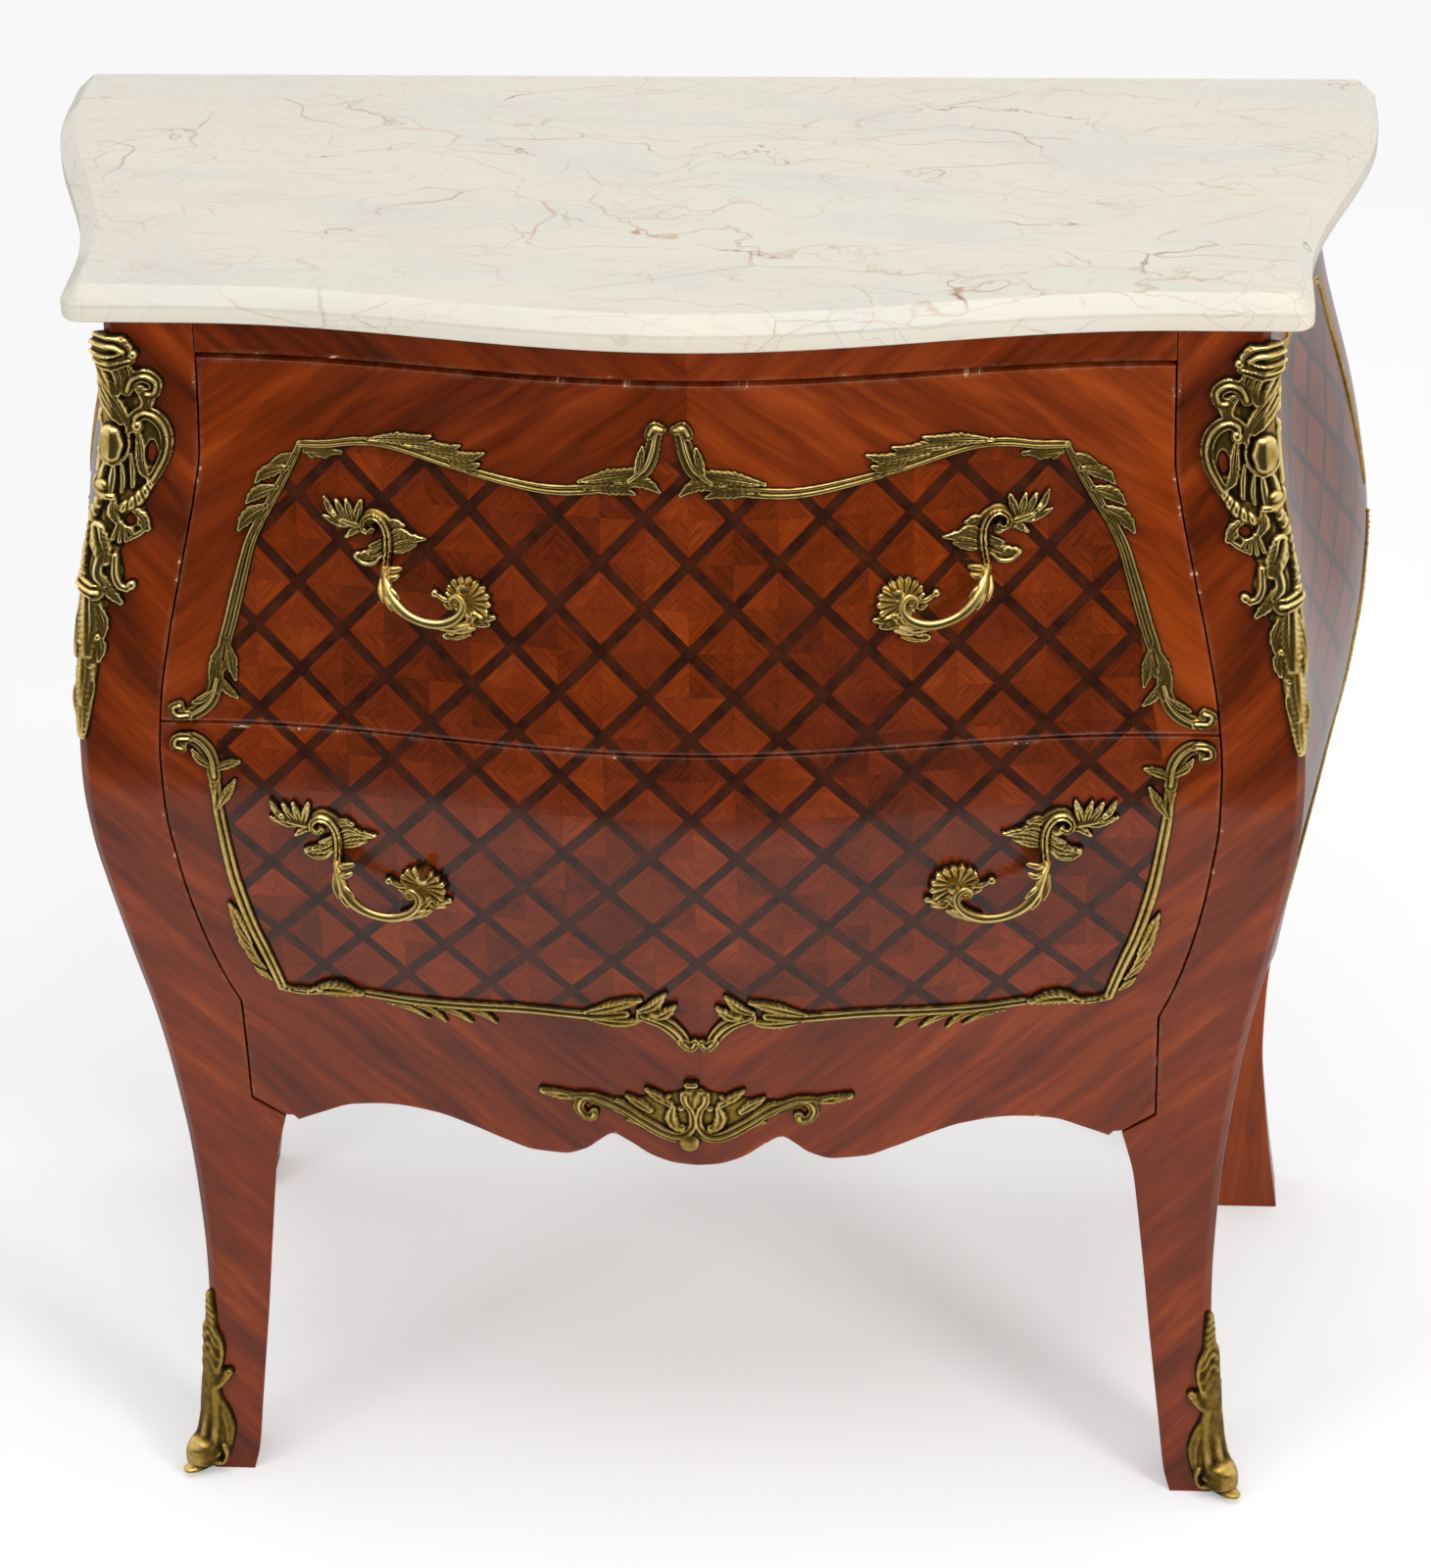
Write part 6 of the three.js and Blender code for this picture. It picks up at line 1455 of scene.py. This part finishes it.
shoeMiddle = [
    ("rope", 3.9, 5, .6, 1, [(0, 126), (0, 112), (0, 100)]),
    ("leaf", 7.2, 5, .55, .9, [(0, 107), (0, 92), (0, 72)]),
    ("round", 6.8, 5.6, 1, 1, [(0, 82), (0, 66), (0, 50)]),
    ("round", 12, 6, .55, .95, [(0, 58), (0, 38), (0, 14)]),
    ("swell", 9, 10.5, .5, 1.05, [(0, 58), (0, 40), (0, 20)]),
    ("round", 8.6, 10.6, .8, .8, [(0, 19.5), (0, 9)]), ("round", 5.6, 15.4, .8, .8, [(0, 19.5), (0, 8)]),
    ("round", 3.1, 19.4, .8, .8, [(0, 18), (0, 7.5)]), ("round", 2.2, 24, 1, 1, [(0, 2.4), (0, 3.4)]),
]
shoe = shoeMiddle + shoeHalf + mirrored(shoeHalf)
shoeTone = {"middle": 0.42, "spread": 0.55}
for side, sign in sides.items():
    made = reliefMesh(cornerCasting, cornerHoles, cornerPlace(sign), sign, 0.42)
    brassPiece(side + "CornerMount", [made], "carcass", side + "_corner_mount")
    points, faces, tones = reliefMesh(shoe, [], cornerPlace(sign), sign, 0.9)
    tones = np.maximum(shoeTone["middle"] + (tones - relief["middle"]) * shoeTone["spread"], 0)
    brassPiece(side + "Sabot", [(points, faces, tones)], "carcass", side + "_sabot")
print("corner mounts and shoes made")


# Side frames: two reeds along each line and a row of beads, laid by geometry nodes.
class Layout(Graph):
    def __init__(self, name, inputs):
        super().__init__(bpy.data.node_groups.new(name, "GeometryNodeTree"))
        self.tree.interface.new_socket("Geometry", in_out="OUTPUT", socket_type="NodeSocketGeometry")
        self.values = {}
        for title, (kind, value) in inputs.items():
            socket = self.tree.interface.new_socket(title, in_out="INPUT", socket_type="NodeSocket" + kind)
            if value is not None:
                self.values[socket.identifier] = value
        self.given = self.tree.nodes.new("NodeGroupInput")

    def take(self, name):
        return Value(self, self.given.outputs[name])

    def named(self, name):
        return self.node("GeometryNodeInputNamedAttribute", {"data_type": "FLOAT"}, {"Name": name})


sideStrip = {"inner": 1.2, "outer": 1.55, "apart": 1.5, "lift": 0.2, "leafLift": 0.5, "beadSize": 0.0015,
             "beadSpacing": 0.0036, "seed": 7, "least": 0.85, "most": 1.15, "sides": 10, "tone": 0.62}


def reededStrip():
    m = Layout("reededStrip", {
        "Geometry": ("Geometry", None), "Bead Size": ("Float", sideStrip["beadSize"]),
        "Bead Spacing": ("Float", sideStrip["beadSpacing"]), "Seed": ("Int", sideStrip["seed"]),
        "Material": ("Material", giltBrass)})
    curve = m.node("GeometryNodeMeshToCurve", None, {"Mesh": m.take("Geometry")})
    ring = m.node("GeometryNodeCurvePrimitiveCircle", None, {"Resolution": sideStrip["sides"], "Radius": 1.0})
    bar = m.node("GeometryNodeCurveToMesh", None, {
        "Curve": curve, "Profile Curve": ring, "Scale": m.named("thick"), "Fill Caps": True})
    spots = m.node("GeometryNodeResampleCurve", {"mode": "LENGTH"}, {
        "Curve": curve, "Length": m.take("Bead Spacing")})
    bead = m.node("GeometryNodeMeshIcoSphere", None, {"Radius": 1.0, "Subdivisions": 2})
    jitter = m.node("FunctionNodeRandomValue", {"data_type": "FLOAT"}, {
        "Min": sideStrip["least"], "Max": sideStrip["most"], "Seed": m.take("Seed")}, 1)
    beads = m.node("GeometryNodeInstanceOnPoints", None, {
        "Points": spots, "Selection": m.named("beaded") > 0.5, "Instance": bead,
        "Scale": m.take("Bead Size") * jitter})
    both = m.tree.nodes.new("GeometryNodeJoinGeometry")
    for part in (bar, beads):
        m.tree.links.new(part.socket, both.inputs[0])
    real = m.node("GeometryNodeRealizeInstances", None, {"Geometry": Value(m, both.outputs[0])})
    done = m.node("GeometryNodeSetMaterial", None, {"Geometry": real, "Material": m.take("Material")})
    out = m.tree.nodes.new("NodeGroupOutput")
    m.tree.links.new(done.socket, out.inputs[0])
    return m


def laidOut(name, layout, lines):  # lines are lists of points in millimetres with a thickness and a bead flag
    points, edges, thick, beaded = [], [], [], []
    for path, radius, flag in lines:
        start = len(points)
        points += [tuple(p) for p in path]
        edges += [(start + k, start + k + 1) for k in range(len(path) - 1)]
        thick += list(np.broadcast_to(radius, len(path)) * 0.001)
        beaded += [float(flag)] * len(path)
    wire = np.asarray(points, float)
    wire[:, 1] += chest["shiftY"]
    mesh = bpy.data.meshes.new(name)
    mesh.from_pydata((wire * 0.001).tolist(), edges, [])
    made = linked(name, mesh)
    addValue(made, "thick", thick)
    addValue(made, "beaded", beaded)
    modifier = made.modifiers.new("layout", "NODES")
    modifier.node_group = layout.tree
    for key, value in layout.values.items():
        modifier[key] = value
    seen = bpy.context.evaluated_depsgraph_get()
    made.data = bpy.data.meshes.new_from_object(made.evaluated_get(seen))
    made.modifiers.clear()
    for attribute in ("thick", "beaded"):
        if attribute in made.data.attributes:
            made.data.attributes.remove(made.data.attributes[attribute])
    made.data.shade_smooth()
    addValue(made, "relief", np.full(len(made.data.vertices), sideStrip["tone"]))
    return made


def sideCurve(shares, sign, offset, lift):  # a line on the side panel, a little beside its middle
    line = gridCurve([sideSpot(*s) for s in shares], 4.0)[0]
    way = unit(np.gradient(line, axis=0))
    y, z = (line + np.stack([way[:, 1], -way[:, 0]], 1) * offset).T
    slopeY = sideX(y + 0.5, z) - sideX(y - 0.5, z)
    slopeZ = sideX(y, z + 0.5) - sideX(y, z - 0.5)
    normal = unit(np.stack([np.ones(len(y)), -slopeY, -slopeZ], 1))
    return (np.stack([sideX(y, z), y, z], 1) + normal * lift) * (sign, 1, 1)


strip = reededStrip()
reeds = ((sideStrip["apart"], sideStrip["outer"]), (-sideStrip["apart"], sideStrip["inner"]))
for side, sign in sides.items():
    for end, frames in sideFrames.items():
        for level, shares in frames.items():
            lines = []
            for offset, radius in reeds:
                path = sideCurve(shares, sign, offset, sideStrip["lift"])
                taper = np.interp(np.linspace(0, 1, len(path)), [0, 0.06, 0.94, 1], [0.6, 1, 1, 0.6])
                lines.append((path, radius * taper, False))
            path = sideCurve(shares[:3], sign, 0.0, sideStrip["leafLift"])
            swell = np.interp(np.linspace(0, 1, len(path)), [0, 0.5, 1], [0.8, 1.6, 0.5])
            piece = laidOut(side + level.capitalize() + end.capitalize() + "SideMount", strip,
                            lines + [(path, swell, True)])
            settle(piece, "carcass", "gilt_brass", side + "_" + level + "_" + end + "_side_mount")
print("side mounts made")


# What the model's own solids keep: nuts, drawer boxes, runners and boards.
ownFinishes = {"_nut": giltBrass, "_drawer_": drawerWood, "runner": boardWood, "board": boardWood,
               "back_panel": carcassWood}
for name, node in nodes.items():
    if node.hide_render:
        continue
    material = next(finish for part, finish in ownFinishes.items() if part in name)
    node.data.materials.clear()
    node.data.materials.append(material)
    if material == giltBrass and "relief" not in node.data.attributes:
        addValue(node, "relief", np.full(len(node.data.vertices), 0.6))

# Floor, lamps and the light of the room.
room = {
    "floorHalf": 3.2, "floorFront": -1.0, "floorBack": 6.0, "floorFar": 14.0, "floorShade": 0.94,
    "floorGlow": 0.3, "floorLift": 0.33, "floorLight": 1.0, "floorShine": 0.2,
    "white": (0.99, 0.99, 1.0, 1.0), "skyStrength": 0.5, "backdrop": 0.98,
    "topPower": 40.0, "topSize": 2.6, "topPlace": (0.1, -0.5, 3.3), "topAim": (0, 0, 0.6),
    "leftPower": 15.0, "rightPower": 44.0, "frontSize": 0.9, "frontAside": 2.5, "frontAhead": -2.5,
    "frontHigh": 1.9, "frontAim": (0, 0, 0.4),
    # what the polish mirrors, by direction: from, to, and the light at both
    "behind": (-0.25, 0.35, 0.0, 1.0), "beside": (0.55, 0.9, 0.0, 0.8), "above": (0.38, 0.62, 0.0, 1.1),
    "aboveFront": (-0.35, 0.0, 0.25, 1.0), "mirrorShare": 0.97, "mirrorLeast": 0.03,
}


def floorFinish():
    m = Finish("paleFloor")
    path = m.node("ShaderNodeLightPath")
    mottle = m.noise(m.place(), 3.0, 3.0)
    tone = m.span(mottle, 0.3, 0.7, room["floorShade"] - 0.01, room["floorShade"] + 0.01)
    tone = tone * (path * room["floorLift"] + 1.0)
    diffuse = m.node("ShaderNodeBsdfDiffuse", None, {"Color": m.vector(tone, tone, tone)})
    glow = m.node("ShaderNodeEmission", None, {"Color": room["white"], "Strength": room["floorLight"]})
    x, y = m.parts(m.place())[:2]
    paling = m.span(x * x + y * y, 1.2, 11.0, room["floorGlow"], 1.0)  # the floor fades into the backdrop
    mixed = m.node("ShaderNodeMixShader", None, {0: path * paling, 1: diffuse, 2: glow})
    shiny = Value(m, path.socket.node.outputs["Is Glossy Ray"])
    dim = m.node("ShaderNodeEmission", None, {"Color": (0.0, 0.0, 0.0, 1.0), "Strength": 0.0})
    whole = m.node("ShaderNodeMixShader", None, {0: shiny * room["floorShine"], 1: mixed, 2: dim})
    m.node("ShaderNodeOutputMaterial", None, {"Surface": whole})
    return m.material


floorPaint = floorFinish()
half, front, rear, far = room["floorHalf"], room["floorFront"], room["floorBack"], room["floorFar"]
sheets = {"floor": (-half, front, half, rear), "floorNear": (-far, -far, far, front),
          "floorLeft": (-far, front, -half, rear), "floorRight": (half, front, far, rear),
          "floorRear": (-far, rear, far, far)}
for name, (x0, y0, x1, y1) in sheets.items():
    sheet = bpy.data.meshes.new(name)
    sheet.from_pydata([(x0, y0, 0), (x1, y0, 0), (x1, y1, 0), (x0, y1, 0)], [], [(0, 1, 2, 3)])
    sheet.materials.append(floorPaint)
    piece = linked(name, sheet)
    piece.visible_glossy = name == "floor"  # only the middle is mirrored in the polish
    piece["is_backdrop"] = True


def aimed(place, towards, roll=0.0):
    forward = unit(np.array(towards, float))
    right = unit(np.cross(forward, (0, 0, 1)))
    up = np.cross(right, forward)
    right, up = math.cos(roll) * right + math.sin(roll) * up, math.cos(roll) * up - math.sin(roll) * right
    return Matrix([[right[k], up[k], -forward[k], place[k]] for k in range(3)] + [[0, 0, 0, 1]])


def lamp(name, power, size, place, target, glossy):
    light = bpy.data.lights.new(name, "AREA")
    light.shape = "SQUARE"
    light.size = size
    light.energy = power
    made = linked(name, light)
    made.matrix_world = aimed(place, np.array(target) - np.array(place))
    made.visible_glossy = glossy


lamp("overhead", room["topPower"], room["topSize"], room["topPlace"], room["topAim"], True)
for side, sign in sides.items():
    lamp(side + "Front", room[side + "Power"], room["frontSize"],
         (sign * room["frontAside"], room["frontAhead"], room["frontHigh"]), room["frontAim"], False)

world = bpy.data.worlds.new("studio")
bpy.context.scene.world = world
world.use_nodes = True
m = Graph(world.node_tree)
outputs = m.node("ShaderNodeLightPath").socket.node.outputs
camera, glossy, through = (Value(m, outputs["Is " + kind + " Ray"])
                           for kind in ("Camera", "Glossy", "Transmission"))
dx, dy, dz = m.parts(m.node("ShaderNodeTexCoord", None, None, 0))
above = m.span(dz, *room["above"]) * m.span(dy, *room["aboveFront"])
back = m.span(dy, *room["behind"]).most(m.span(dx.size(), *room["beside"])).most(above)
back = back * room["mirrorShare"] + room["mirrorLeast"]
level = (camera * room["backdrop"]).most(through).most(glossy * back)
level = level.most((1 - camera.most(through).most(glossy)) * room["skyStrength"])
background = m.node("ShaderNodeBackground", None, {"Color": room["white"], "Strength": level})
m.node("ShaderNodeOutputWorld", None, {"Surface": background})

# The camera stands where the photograph was taken.
view = {"place": (0.21525, -2.60560, 1.89677), "yaw": -0.081543, "pitch": -0.515520, "roll": -0.025543,
        "lens": 111.66, "sensor": 36.0, "far": 50.0}
yaw, pitch = view["yaw"], view["pitch"]
lensData = bpy.data.cameras.new("camera")
lensData.sensor_width = view["sensor"]
lensData.lens = view["lens"]
lensData.clip_end = view["far"]
cameraPiece = linked("camera", lensData)
cameraPiece.matrix_world = aimed(view["place"], (
    math.sin(yaw) * math.cos(pitch), math.cos(yaw) * math.cos(pitch), math.sin(pitch)), view["roll"])
bpy.context.scene.camera = cameraPiece
bpy.context.scene.view_settings.view_transform = "Standard"
print("room and camera set")

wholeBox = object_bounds()
plain = lambda box: [[float(c) for c in corner] for corner in box]
{"cad": plain(cadBox), "visual": plain(wholeBox)}
